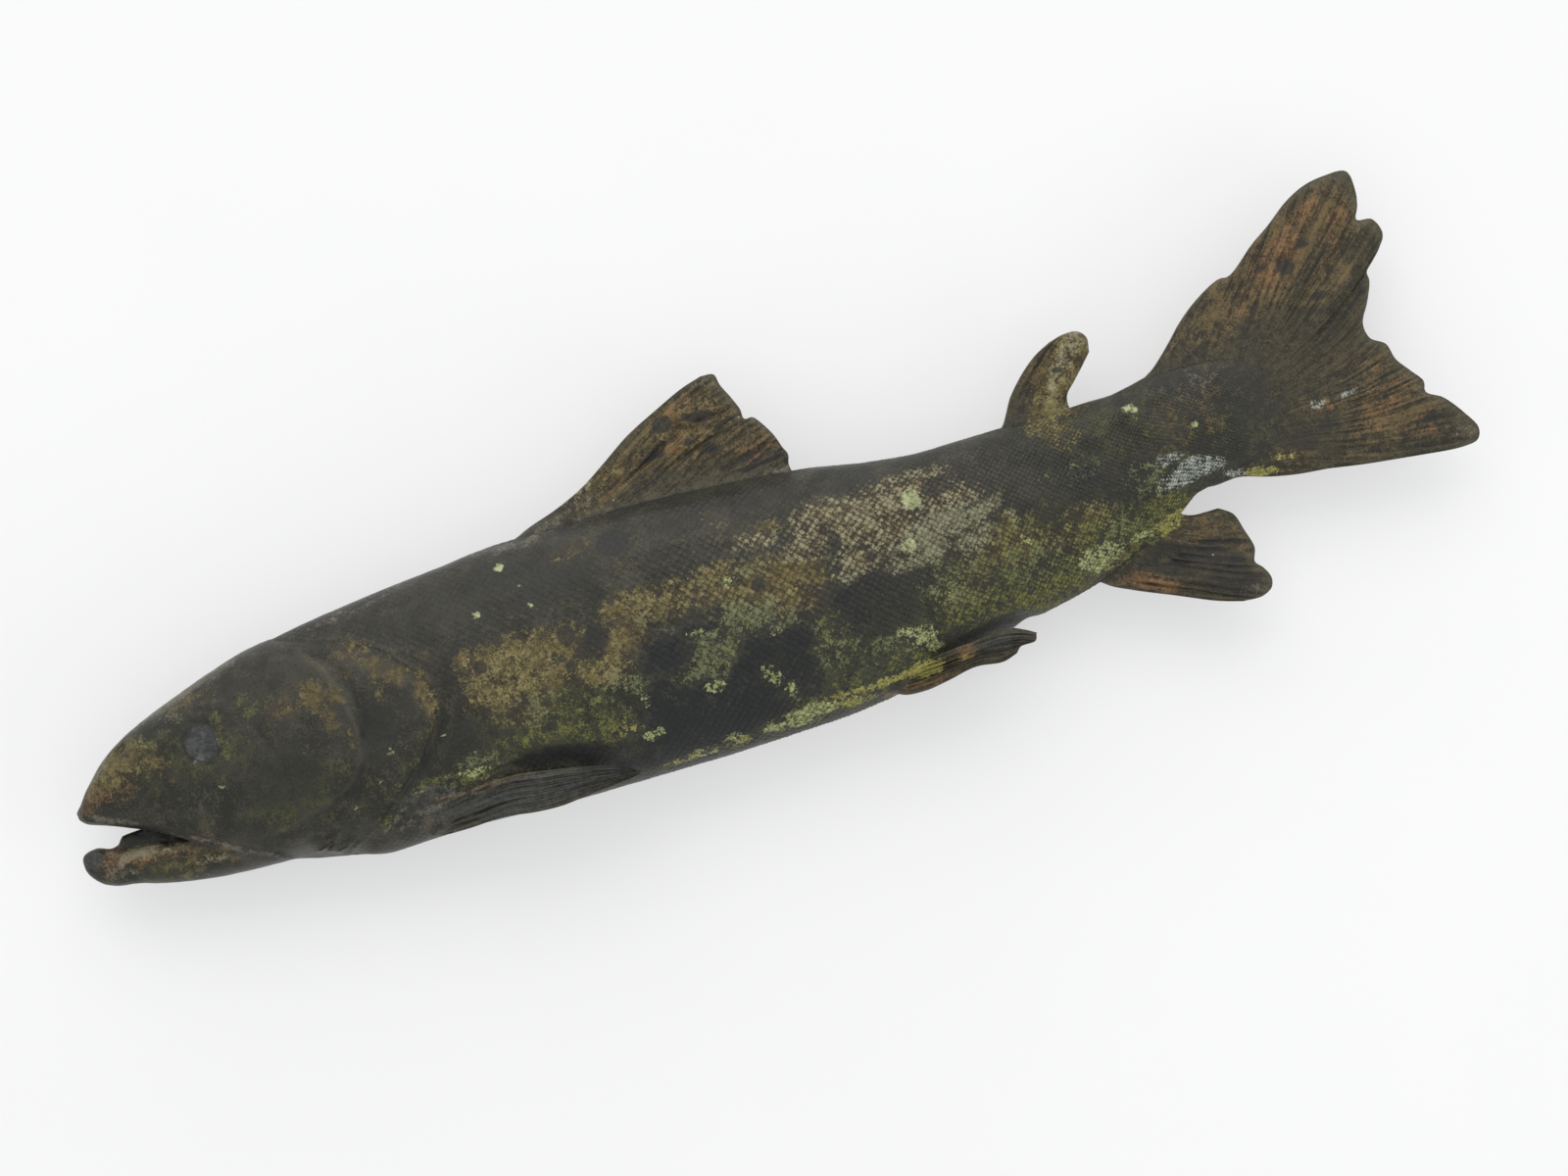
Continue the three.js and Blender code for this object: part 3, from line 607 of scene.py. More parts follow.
def head_relief(spot):
    """Height of the head's plates, folds and pits at its points."""
    places = seen(spot)
    lift = lumps(spot, HEAD_LUMPS)
    plate = from_line(places, PREOPERCLE[::-1], 3 * GILL_PLATE["run"])
    lift += ledge(plate, **GILL_PLATE)
    lift -= 0.55 * np.exp(-((plate + 1.5) / 1.5) ** 2)
    lift += ledge(from_line(places, GILL_RIM[::-1], 3 * RIM_PLATE["run"]), **RIM_PLATE)
    for line, depth, width in HEAD_GROOVES:
        lift += groove(places, line, depth, width)
    from_eye = from_patch(places, *EYE_SEEN, *EYE_OPENING)
    for height, far, wide in (EYE_RIDGE, EYE_GROOVE):
        lift += height * np.exp(-((from_eye - far) / wide) ** 2)
    slot = from_patch(
        places, *NOSTRIL_SEEN, NOSTRIL["long"], NOSTRIL["high"], NOSTRIL["lean"]
    )
    return lift - NOSTRIL["deep"] * (1 - smoothstep(slot, 0.5, 1.3))


def head():
    """The head from the snout to the gill cover's rear edge, where its skin turns in."""
    columns, count = HEAD_GRID
    rear = rear_of_head(side_shares(columns))
    table_x = np.linspace(SNOUT + 0.01, rear.max(), 160)
    table = even_angles(BODY, table_x, side_shares(columns))
    rings = []
    for i in range(1, count + 1):
        x = SNOUT + (rear - SNOUT) * (i / count) ** CROWD
        angle = np.array([np.interp(x[k], table_x, table[:, k]) for k in range(columns + 1)])
        x = np.concatenate([x, x[columns - 1:0:-1]])
        angle = both_sides(angle[None, :], columns)[0]
        rings.append(section(BODY, x, angle, head_swell(x, angle)))
    rings.append(rings[-1] + (np.array(HEAD_CORE) - rings[-1]) * 0.15)
    tip = (SNOUT, float(BODY["top"](SNOUT)), MIDDLE)
    shell = Shell(*closed_loft(np.array(rings), tip, HEAD_CORE))
    shell.raise_by(head_relief(shell.points))
    return shell


def lower_jaw():
    """The lower jaw, with the mouth hollow inside its rim."""
    columns, count = JAW_GRID
    x = CHIN + (JAW_REAR - CHIN) * (np.arange(1, count + 1) / count) ** CROWD
    angle = both_sides(even_angles(JAW, x, side_shares(columns)), columns)
    rings = section(JAW, x[:, None] + 0 * angle, angle)
    tip = (CHIN, float(JAW["top"](CHIN)), MIDDLE)
    shell = Shell(*closed_loft(rings, tip, (JAW_REAR + 2, -33, MIDDLE)))

    spot = shell.points
    places = seen(spot)
    rim = plain_line(JAW_RIM)(spot[:, 0])
    inside = smoothstep(spot[:, 1], rim - 0.3, rim + 0.9)
    inside *= smoothstep(spot[:, 0], MOUTH_FROM, MOUTH_TO)
    out = spot[:, 2] - MIDDLE
    spot[:, 2] = MIDDLE + out * (1 - MOUTH_DEPTH * inside)
    shell.raise_by(lumps(spot, JAW_LUMPS) + groove(places, *JAW_GROOVE))
    return shell


def on_side(points, side):
    """Points of the left side, or their mirror image on the right where side is -1."""
    return np.stack([*points.T[:2], MIDDLE + side * (points[:, 2] - MIDDLE)], axis=-1)


def on_face(x, y, swell=0.0):
    """The point of the body's left face at (x, y), and the face's direction there."""
    step = 0.4
    z = float(body_face(x, y, swell))
    ahead = (float(body_face(x + step, y, swell)) - z) / step
    above = (float(body_face(x, y + step, swell)) - z) / step
    normal = np.array([-ahead, -above, 1])
    return np.array([x, y, MIDDLE + z]), normal / np.linalg.norm(normal)


EYE_SEEN = seen(on_face(EYE["x"], EYE["y"])[0][None, :])[0]
NOSTRIL_SEEN = seen(on_face(NOSTRIL["x"], NOSTRIL["y"])[0][None, :])[0]


def eye(side):
    """A low dome in the socket."""
    centre, normal = on_face(EYE["x"], EYE["y"])
    right = np.cross([0, 1, 0], normal)
    right /= np.linalg.norm(right)
    up = np.cross(normal, right)
    turns, rings = 40, 12
    centre = centre - normal * EYE["sunk"]
    tall = EYE["dome"] + EYE["back"]
    points = []
    for j in range(1, rings):
        dip = math.pi * j / rings
        for k in range(turns):
            turn = 2 * math.pi * k / turns
            points.append(
                centre + right * EYE["wide"] * math.sin(dip) * math.cos(turn)
                + up * EYE["high"] * math.sin(dip) * math.sin(turn)
                + normal * tall * math.cos(dip)
            )
    grid = np.array(points).reshape(rings - 1, turns, 3)
    points, faces = closed_loft(grid, centre + normal * tall, centre - normal * tall)
    return Shell(on_side(points, side), faces)


def lip_base(x):
    """The place on the upper jaw's face that the lip's edge follows, and its direction."""
    return on_face(x, float(BODY["under"](x)) + LIP["radius"] * 0.9)


def lip(side):
    """The rounded edge of the upper jaw, from the snout back to the throat."""
    count, turns = 64, 10
    rings = []
    for i in range(count + 1):
        f = i / count
        x = LIP["from"] + (LIP["to"] - LIP["from"]) * f
        centre, normal = lip_base(x)
        ahead = lip_base(x + 0.5)[0] - centre
        ahead /= np.linalg.norm(ahead)
        over = np.cross(normal, ahead)
        size = LIP["radius"] * min(1, 0.35 + 3 * f, 0.25 + 4 * (1 - f))
        turn = 2 * math.pi * np.arange(turns) / turns
        sink = 0.5 * size + 1.2 * max(0, f - 0.9) / 0.1 * 0.6
        rings.append(
            centre - normal * sink
            + size * (np.cos(turn)[:, None] * normal + np.sin(turn)[:, None] * over)
        )
    rings = np.array(rings)
    points, faces = closed_loft(rings, rings[0].mean(axis=0), rings[-1].mean(axis=0))
    return Shell(on_side(points, side), faces)


def edge_reader(points):
    """Reads an edge by its share of length."""
    steps = np.linalg.norm(np.diff(points, axis=0), axis=1)
    share = np.concatenate([[0], np.cumsum(steps)]) / steps.sum()
    return lambda s: np.stack([np.interp(s, share, points[:, k]) for k in range(3)], -1)


def fin_middle(form, side, tuck, u, v):
    """The middle of a fin's sheet, blended between its four edges. u runs along the root and
    v from the root to the tips."""
    def edge(name):
        points = [
            (q[0], q[1], MIDDLE + side * tuck * (q[2] if len(q) > 2 else 0)) for q in form[name]
        ]
        return edge_reader(rounded(points, 24))

    root, lead, tips, trail = (edge(name) for name in ("root", "lead", "tips", "trail"))
    ray, at_root, at_tips = zip(*form.get("spread", [(0, 0, 0), (1, 1, 1)]))
    start = root(smooth_line(list(zip(ray, at_root)))(u))
    end = tips(smooth_line(list(zip(ray, at_tips)))(u))
    du, dv = u[..., None], v[..., None]
    sheet = (
        start * (1 - dv) + end * dv + lead(v) * (1 - du) + trail(v) * du
        - root(0.0) * (1 - du) * (1 - dv) - root(1.0) * du * (1 - dv)
        - tips(0.0) * (1 - du) * dv - tips(1.0) * du * dv
    )
    if "bend" in form:
        across = np.stack([end[..., 1] - start[..., 1], start[..., 0] - end[..., 0]], -1)
        across /= np.linalg.norm(across, axis=-1, keepdims=True)
        sag = smooth_line(form["bend"])(u) * 4 * v * (1 - v)
        sheet[..., :2] += across * sag[..., None]
    return sheet


def fin_relief(form, u, v, flat, seed):
    """Over a fin's sheet: the rays' running number, half the thickness, and the sheet's wave."""
    rows, columns = u.shape[0] - 1, u.shape[1] - 1

    def grid(values):
        return values.reshape(u.shape)

    drift = (grid(cloud(flat, 30, 31 + seed)) - 0.5) * 0.9 * np.sin(np.pi * u) ** 0.5
    ray = form["rays"] * u + drift
    fork = form["fork"] * smoothstep(v, 0.3, 0.75)
    crest = (1 - fork) * np.cos(2 * np.pi * ray) + fork * np.cos(4 * np.pi * ray)
    streak = np.stack([ray.ravel() * 1.3, v.ravel() * 5, 0 * ray.ravel()], -1)
    uneven = 0.25 + 1.5 * grid(noise(streak, 1, 41 + seed))
    lift = form["ridge"] * (crest * uneven + 0.8 * (grid(noise(streak * 2.1, 1, 45 + seed)) - 0.5))
    lift *= smoothstep(v, 0.05, 0.35)
    sheet = form["root_half"] + (form["tip_half"] - form["root_half"]) * v ** 0.7
    rim = np.minimum.reduce([
        smoothstep(u * columns, -1.2, 4), smoothstep((1 - u) * columns, -1.2, 4),
        smoothstep((1 - v) * rows, -0.8, 1.8),
    ])
    half = np.maximum(sheet + lift, 0.45) * (0.35 + 0.65 * rim)
    for line in form.get("folds", ()):
        half += grid(groove(seen(flat), line, 0.75, 0.6)) * (half > 0.9)
    wave = (grid(cloud(flat, 26, 51 + seed)) - 0.5) * 1.3 * smoothstep(v, 0.2, 1)
    half += 0.35 * (grid(cloud(flat, 6, 55 + seed)) - 0.5) * rim
    return ray, half, wave


def sheet_faces(rows, columns):
    """Triangles of a sheet's upper and lower face and of the wall around them."""
    width = columns + 1
    size = width * (rows + 1)
    row, column = np.meshgrid(np.arange(rows), np.arange(columns), indexing="ij")
    a = row * width + column
    b, c, d = a + 1, a + width + 1, a + width
    up = np.concatenate([np.stack([a, b, c], -1), np.stack([a, c, d], -1)]).reshape(-1, 3)
    k, r = np.arange(columns), np.arange(rows)
    loop = np.concatenate([k, r * width + columns, rows * width + columns - k, (rows - r) * width])
    ahead = np.roll(loop, -1)
    wall = np.concatenate([
        np.stack([loop, loop + size, ahead], -1),
        np.stack([ahead, loop + size, ahead + size], -1),
    ])
    return np.concatenate([up, up[:, ::-1] + size, wall])


def fin(form, side=1, tuck=1.0, seed=0, per_ray=5):
    """A rayed sheet. side is -1 for the hidden right fins, which tuck draws to the body."""
    columns, rows = per_ray * form["rays"], form["rows"]
    u, v = np.meshgrid(np.linspace(0, 1, columns + 1), np.linspace(0, 1, rows + 1))
    middle = fin_middle(form, side, tuck, u, v)
    outward = np.cross(middle[rows // 2, -1] - middle[rows // 2, 0], middle[-1, columns // 2]
                       - middle[0, columns // 2])
    outward *= np.sign(outward[2]) / np.linalg.norm(outward)
    ray, half, wave = fin_relief(form, u, v, middle.reshape(-1, 3), seed)
    over = middle + outward * (wave + half)[..., None]
    under = middle + outward * (wave - half)[..., None]
    return Shell(
        np.concatenate([over.reshape(-1, 3), under.reshape(-1, 3)]), sheet_faces(rows, columns),
        ray=np.tile(ray.ravel(), 2) + RAYS_APART * seed,
        reach=np.tile(np.maximum(v, 0.02).ravel(), 2),
    )


MARKS = ("scale_along", "scale_across", "furrow", "ray", "reach", "skin", *RELIEF)


def add_object(name, data):
    """Makes an object and puts it in the scene."""
    thing = bpy.data.objects.new(name, data)
    bpy.context.scene.collection.objects.link(thing)
    return thing


def to_object(name, shell):
    """A mesh object from a skin, with all its marks at each point."""
    shell.marks |= dict(zip(RELIEF, shell.relief.T))
    mesh = bpy.data.meshes.new(name)
    mesh.from_pydata((shell.points * MM).tolist(), [], shell.faces.tolist())
    for mark in MARKS:
        layer = mesh.attributes.new(mark, "FLOAT", "POINT")
        values = shell.marks.get(mark, np.zeros(len(shell.points)))
        layer.data.foreach_set("value", np.asarray(values, np.float32))
    return add_object(name, mesh)


def join(base, other):
    """Adds one closed piece to another, and removes it."""
    change = base.modifiers.new("join", "BOOLEAN")
    change.object = other
    change.operation = "UNION"
    change.solver = "MANIFOLD"
    bpy.context.view_layer.update()
    shaped = bpy.data.meshes.new_from_object(
        base.evaluated_get(bpy.context.evaluated_depsgraph_get())
    )
    base.modifiers.clear()
    base.data = shaped
    bpy.data.objects.remove(other)


def read_mark(mesh, name):
    values = np.empty(len(mesh.vertices), np.float32)
    mesh.attributes[name].data.foreach_get("value", values)
    return values.astype(float)


def write_mark(mesh, name, values):
    layer = mesh.attributes.get(name) or mesh.attributes.new(name, "FLOAT", "POINT")
    layer.data.foreach_set("value", np.asarray(values, np.float32))


def read_points(mesh):
    flat = np.empty(3 * len(mesh.vertices), np.float32)
    mesh.vertices.foreach_get("co", flat)
    return flat.reshape(-1, 3).astype(float) / MM


def read_edges(mesh):
    flat = np.empty(2 * len(mesh.edges), np.int32)
    mesh.edges.foreach_get("vertices", flat)
    return flat.reshape(-1, 2)


def read_skin(mesh):
    """Which of SKINS each point comes from."""
    return np.round(read_mark(mesh, "skin")).astype(int)


def tree_of(spots, numbers):
    """A search tree of points, each under its number."""
    tree = KDTree(len(spots))
    for spot, number in zip(spots, numbers):
        tree.insert(spot, number)
    tree.balance()
    return tree


def averaged(values, edges, rounds):
    """Values at points, evened out over a number of steps along the edges."""
    a, b = edges.T
    links = np.bincount(a, minlength=len(values)) + np.bincount(b, minlength=len(values))
    links = np.maximum(links, 1)
    for _ in range(rounds):
        total = np.bincount(a, values[b], len(values)) + np.bincount(b, values[a], len(values))
        values = 0.5 * values + 0.5 * total / links
    return values


def find_seams(points, edges, skin):
    """For each point, the width of the seam that it lies on or 0, and whether the seam is the
    gill cover's edge or the root of a middle fin."""
    a, b = edges.T
    crossing = skin[a] != skin[b]
    added = np.maximum(skin[a], skin[b])
    at_cover = added == SKINS.index("head")
    at_fin = np.isin(added, [SKINS.index(name) for name in MIDDLE_FINS])
    widths = np.array(list(SEAM_WIDTHS.values()))[added]
    widths = np.where(at_cover, plain_line(COVER_WIDTHS)(points[a, 1]), widths)
    width = np.zeros(len(points))
    np.maximum.at(width, a[crossing], widths[crossing])
    np.maximum.at(width, b[crossing], widths[crossing])
    on_cover, on_fin = np.zeros((2, len(points)), bool)
    on_cover[edges[crossing & at_cover]] = True
    on_fin[edges[crossing & at_fin]] = True
    return width, on_cover, on_fin


def seam_shares(points, width, on_cover, on_fin):
    """For each point, by its nearest seam: how far it evens out, how much of its relief stays,
    and how much it belongs to the gill cover's edge and to a middle fin's root."""
    seam = np.flatnonzero(width)
    tree = tree_of(points[seam], seam)
    soft, kept, cover, root = np.zeros((4, len(points)))
    for i, point in enumerate(points):
        _, j, far = tree.find(point)
        soft[i] = 1 - smoothstep(far, 0.3 * width[j], width[j])
        kept[i] = smoothstep(far, 0.1 * width[j], 0.1 * width[j] + SEAM_FADE)
        if on_cover[j]:
            cover[i] = 1 - smoothstep(point[1], *COVER_TOP)
        root[i] = on_fin[j]
    return soft, kept, cover, root


def even_out(points, edges, soft, cover, root):
    """Draws the points around the seams towards their neighbours, in many small rounds."""
    count = len(points)
    a, b = edges[(soft[edges] > 0).any(axis=1)].T
    # Points that stand over each other on one face, as on the gill cover's steep edge, draw
    # together first
    flat = ((points[a] - points[b])[:, :2] ** 2).sum(axis=1)
    one_face = (points[a, 2] - MIDDLE) * (points[b, 2] - MIDDLE) > 1
    part = np.maximum(np.minimum(cover[a], cover[b]), np.minimum(root[a], root[b]) * one_face)
    steep = 1 + part * STEEP_PULL / (flat + STEEP_SIZE ** 2)
    plain = np.ones(len(a))
    across = FIN_SHARE + (COVER_SHARE - FIN_SHARE) * cover
    ways = [
        (share, pull, np.maximum(np.bincount(a, pull, count) + np.bincount(b, pull, count), 1))
        for share, pull in ((across, plain), (across, plain), (HEIGHT_SHARE, steep))
    ]
    for _ in range(SEAM_ROUNDS):
        for k, (share, pull, links) in enumerate(ways):
            line = points[:, k]
            total = np.bincount(a, pull * line[b], count)
            total += np.bincount(b, pull * line[a], count)
            points[:, k] = line + share * soft * (total / links - line)


def soften_seams(mesh):
    """Rounds the seams between skins, each over its own width, and lets the carved relief fade
    towards them. Returns how much of the relief is left."""
    relief = np.stack([read_mark(mesh, name) for name in RELIEF], axis=-1)
    points, edges = read_points(mesh) - relief, read_edges(mesh)
    seams = find_seams(points, edges, read_skin(mesh))
    soft, kept, cover, root = seam_shares(points, *seams)
    even_out(points, edges, soft, cover, root)
    points += relief * kept[:, None]
    out = np.sign(points[:, 2] - MIDDLE)
    points[:, 2] += out * groove(seen(points), *GILL_GROOVE)
    points[:, 2] = np.maximum(points[:, 2], 0)
    mesh.vertices.foreach_set("co", (points * MM).astype(np.float32).ravel())
    mesh.update()
    return kept


# Patches of the patina, of painted shade and of painted highlights, as the camera sees them:
# (x, y, half length, half width, strength) and, where it matters, the turn in degrees
PATCHES = {
    "ochre": [
        (-66, -9, 15, 6, 1), (-55, -8, 9, 5, 0.9), (-73, -15, 8, 5, 1), (-60, -16, 12, 4, 0.8),
        (-78, -5, 5, 3, 0.8), (-66, -22, 10, 4, 0.6), (-46, -18, 9, 4, 0.8), (-34, -5, 8, 5, 0.9),
        (-38, -12, 7, 5, 1), (-24, -6, 9, 5, 0.8), (-11, -5, 8, 5, 0.9), (-3, -9, 8, 6, 0.9),
        (6, -9, 9, 7, 1), (8, -16, 7, 4, 0.8), (-75, 14, 10, 2, 0.25), (-45, 13, 9, 3, 0.45),
        (-8, 12, 10, 4, 0.3), (5, 4, 9, 3, 0.4), (84, 5, 6, 4, 0.5), (-119, -3, 2.8, 4.4, 1.05),
        (-124, -4.5, 3, 1.5, 0.5), (-113, -4, 2.2, 3.4, 0.8), (-117, -10, 2.5, 4, 0.7),
        (-123, -15, 2.5, 2, 0.5), (-111.5, -16, 1.2, 2.5, 0.7), (-97, -3, 5, 4, 0.75),
        (-101, -8, 1.8, 4, 0.6), (-90.5, -10, 2.6, 6.5, 0.95), (-105, 6, 5, 2.5, 0.6),
        (-100, 1, 4, 2.5, 0.6), (-173, -6, 11, 5, 1.1, 16), (64, -18, 10, 7, 0.85),
        (84, -17, 8, 5, 0.6), (48, -26, 8, 5, 0.6), (-163, -7, 5, 3, 0.8),
        (-160, -11, 5, 1.6, 0.45), (-169, -28.8, 8, 1.5, 1.2, -3), (-162, -36.6, 6, 1.5, 0.6),
        (-150, -36, 4, 1.6, 0.5), (93, -28, 5, 1.2, 0.8, 20), (-32, 28, 10, 2.6, 0.6, 30),
        (-6, 35, 15, 8, 0.55, 25), (5, 27, 8, 4, 0.3), (86, 17, 11, 5, 1.2, 48),
        (93, 26.4, 6, 3.4, 1.2), (66, -14, 8, 5, 0.6), (78, -20, 10, 6, 0.6), (54, -20, 9, 5, 0.6),
    ],
    "tan": [
        (-172, -28.4, 9, 1.8, 1, -2), (-179, -28, 3.4, 2, 0.8), (-154, -35, 6, 1.4, 0.5, -8),
        (30, 0, 13, 7, 0.92), (20, 4, 8, 4, 0.8), (44, 4, 11, 4, 0.75), (14, -2, 8, 4, 0.75),
        (25, -10, 8, 3.5, 0.9), (36, -5, 8, 5, 0.95), (2, 2, 7, 3, 0.5), (52, -2, 9, 4, 0.8),
        (-6, 9, 5, 2, 0.4), (90, 23, 10, 2.4, 0.9, 48), (-38, 28.4, 9, 1.4, 0.6, 36),
    ],
    "khaki": [
        (49, -7, 9, 4.5, 1), (42, -12, 8, 4.5, 0.95), (59, -7.5, 6, 3, 0.9, 20),
        (55, -14, 7, 3.5, 0.7), (35, -14.5, 6, 2.5, 0.7), (22, -13, 4, 2.5, 0.8),
        (66, -13, 1.6, 4, 0.7), (-22, -20, 6, 4, 0.5), (-28, -14.4, 6, 2, 0.6),
        (55, -41.8, 5, 1.2, 0.45), (-2, -13, 5, 4, 0.5),
    ],
    "rust": [
        (153, 35, 4.5, 3.6, 1.1, 40), (160, 42, 6, 2.5, 0.8, 30), (147, 30, 6, 4, 0.7, 40),
        (168, 38, 4, 3.5, 0.65), (163, 30, 7, 3, 0.5, 35), (137, 23, 9, 4, 0.4, 40),
        (166, -9, 8, 5, 0.5), (160, -15, 8, 4, 0.4), (173, -20, 7, 3, 0.55),
        (150, -7, 8, 2.5, 0.42), (167, -2, 4, 1.6, 0.6), (181, -25, 3, 1.4, 0.6),
        (94, -37, 10, 2.2, 1.3, -24), (104, -31.5, 4, 2, 0.65), (116, -29.5, 4, 2.6, 0.4),
        (102, -41.4, 3, 1.4, 0.6), (120, -35, 2, 3, 0.35), (-5, 33, 13, 8, 0.42, 20),
        (6, 25.5, 9, 3, 0.5), (-22, 29, 7, 3.5, 0.4, 30), (-6, 41, 7, 2.5, 0.5, 30),
        (-178.5, -28.4, 4.6, 3, 1.4), (-171, -30.6, 5, 1.4, 0.8), (-180, -12, 7, 3.4, 0.9),
        (-170, -12, 5, 2.4, 0.7), (-164, -30, 8, 1.4, 0.7, -8), (-145, 4.5, 5, 1.4, 0.5),
        (-159, -13.5, 1.6, 1.6, 0.8), (-157, -28.8, 4, 1.2, 0.6), (-95, -37.8, 4.5, 1.6, 0.95),
        (-99, -42, 5, 1.6, 0.5), (-83, -37.6, 9, 0.9, 0.4), (45, -40.4, 3.2, 1.5, 1.4),
        (56, -44, 4, 1, 0.5), (30, -45.2, 10, 1, 0.7), (-108, -30, 4, 3, 0.3), (76, -10, 4, 2, 0.3),
    ],
    "yellow": [
        (-30, -45, 9, 1.2, 0.6), (-17, -44.6, 5, 1.4, 0.7), (-3, -44, 8, 1.8, 0.8),
        (22, -40.9, 16, 0.7, 1.1, 2), (12, -43.4, 10, 1.4, 0.8), (-43, -34, 4, 2.2, 0.6),
        (34, -41.6, 4.6, 1.9, 1.4), (26, -41.4, 7, 0.8, 1, 6), (131, -18.2, 6, 1.3, 1, -14),
        (138, -16.5, 5, 1, 0.6, -8), (110, -23.4, 9, 0.9, 1), (103, -25, 4, 1.6, 0.8),
        (85, -30.6, 3, 1, 0.8), (45, -41.4, 3, 0.8, 0.6),
    ],
    "moss": [
        (-60, -29, 12, 3.2, 0.7), (-71, -27.6, 5, 2, 0.6), (-48, -32.5, 8, 3.6, 0.7),
        (-41, -35, 4, 2.6, 0.9), (-55, -24, 9, 3, 0.5), (-84, -32.6, 13, 1, 0.9),
        (-97, -33.6, 5, 1.4, 0.8), (-88, -34.9, 13, 0.8, 0.8), (-20, -44.6, 13, 2, 1.2),
        (-34, -45, 9, 1.8, 1), (2, -43.4, 12, 2.2, 1.2), (16, -42, 9, 1.8, 0.8),
        (66, -20, 10, 8, 0.7), (75, -26, 12, 6, 0.8), (68, -32, 20, 4, 1.1, 8),
        (90, -28, 8, 3, 0.5), (58, -28, 12, 6, 0.8), (88, -22, 11, 6, 0.85), (50, -24, 12, 7, 0.75),
        (97, -23, 9, 4, 1.1), (90, -29, 6, 2, 0.4), (104, -20, 6, 3, 0.8), (47, -31.5, 11, 3, 0.65),
        (31, -38, 9, 2, 0.6), (12, -26, 9, 7, 0.45), (8, -38, 12, 4, 0.45), (-170, -9, 9, 3, 0.6),
        (-163, -3, 4, 2.5, 0.5), (-143.6, -3.6, 1.5, 5.4, 1), (-146.6, -10.6, 4, 1.3, 0.9),
        (-134, 0, 6, 4, 0.4), (-99, -26, 5, 2.6, 0.25, 40), (-104, -31, 4, 2, 0.3, 50),
        (-165, -33.5, 8, 1.6, 0.4), (-110, -39, 4, 2, 0.4), (-12, -23, 6, 4, 0.5),
        (108, -20, 5, 2, 0.5), (74, -17, 3, 4, 0.4),
    ],
    "pale": [
        (2, -43.6, 7, 1.8, 1.3), (-5, -44.6, 5, 1.2, 1), (-18, -43.6, 3, 1.4, 0.7),
        (-27, -45, 5, 1, 0.7), (83.5, -28.2, 5, 2.8, 1.2), (88, -26, 4, 2.4, 0.8),
        (97, -25, 5, 1.6, 0.5), (35, -33.6, 4.4, 3.2, 0.75), (31, -31.6, 2, 1.6, 0.7),
        (37, -37, 2.4, 1.2, 0.8), (-36.6, -27.4, 1.2, 2, 0.8), (-38, -37, 3, 1.4, 0.8),
        (-5, -30.6, 2.6, 3.4, 0.6), (-1.6, -35.6, 1.6, 3, 0.65), (-19, -30, 3, 1.4, 0.7),
        (-84, -33, 5, 0.8, 0.75), (-6.7, -5.2, 2.6, 1.5, 0.9), (-89, -21.6, 1.4, 1, 0.5),
        (67, -18, 1.6, 2.4, 0.6), (-100, -35, 2, 1.4, 0.6), (-98, -21.6, 1.2, 0.8, 0.4),
        (45, -26, 1, 1.6, 0.8), (0, -21, 2, 1, 0.6), (-20, -15.6, 3, 1, 0.6),
    ],
    "frost": [
        (112, -13.4, 6.4, 2.6, 1.2, 10), (118, -14, 4, 2, 0.8), (124, -16.6, 3, 0.9, 0.6),
        # The small pale spot on the eye at (-151, -9.4) is a painted glint
        (-151, -9.4, 1.6, 1, 0.8), (148.6, -6.2, 1.6, 1, 0.9), (157, -5.4, 3, 0.8, 0.6),
        (109, -8, 4, 1.6, 0.5),
    ],
    "black": [
        (-29, -18.2, 7.2, 4.8, 1.15), (-21, -14.6, 5, 1.6, 0.8), (-16, -15.4, 4, 1.2, 0.6),
        (-33, -28.6, 5, 4, 1.1), (-30, -37, 10, 9.5, 1.3), (-17, -38.6, 11, 7.5, 1.3),
        (-11, -29, 6, 3.2, 1, 35), (-4, -24, 6, 3.4, 1), (4, -25.5, 5, 4.4, 0.9),
        (1, -31.4, 7, 4.4, 0.85), (-8, -37, 6, 7, 0.95), (4, -36.6, 6, 3.4, 0.65),
        (-41, -43, 4, 3, 0.8), (-22, -31, 6, 3, 0.9), (20, -18, 4, 2.4, 0.5),
    ],
    "slate": [
        (-74, -42.4, 27, 4.6, 1.1, -2), (-52, -43.4, 10, 2.8, 1, -12), (54, -41.6, 9, 2.4, 0.9, -4),
        (-184, -26, 3, 4, 0.7), (-150, -20, 14, 8, 0.3), (-98, -37, 9, 4, 0.8),
    ],
    "olive": [
        (-60, -27, 26, 11, 1), (-28, -38, 22, 9, 0.9), (8, -34, 30, 12, 1), (45, -27, 22, 11, 1),
        (72, -20, 22, 12, 1), (97, -21, 18, 8, 1), (-92, -26, 14, 10, 0.4),
        (-112, -36, 12, 6, 0.45), (-165, -6, 18, 9, 0.8), (-148, -12, 14, 16, 0.5),
        (-128, -26, 16, 9, 0.7), (-20, -18, 20, 8, 0.6), (90, 4, 26, 12, 0.6),
        (118, -8, 20, 10, 0.6), (-168, -34, 16, 5, 0.7), (-152, 8, 16, 4, 0.6, 14),
        (-66, -10, 18, 8, 0.5), (5, -10, 30, 8, 0.5), (20, -40, 40, 5, 0.9),
    ],
    "mottle": [
        (-20, -21.4, 8, 6.5, 1.1), (-16.5, -28, 5, 3, 1), (-25, -25, 4, 3, 0.8),
        (-6, -15, 9, 6, 0.95), (3, -19, 7, 3, 0.7), (-4.6, -31, 4, 5, 0.85), (-1, -36, 3, 5, 0.8),
        (12, -31, 9, 6, 0.6), (24, -34, 14, 4, 0.5), (-40, -24, 8, 6, 0.6), (-37, -30, 3, 5, 0.6),
        (48, -23, 13, 7, 0.6), (-64, -22, 10, 5, 0.5), (70, -24, 12, 6, 0.6), (104, -12, 9, 5, 0.6),
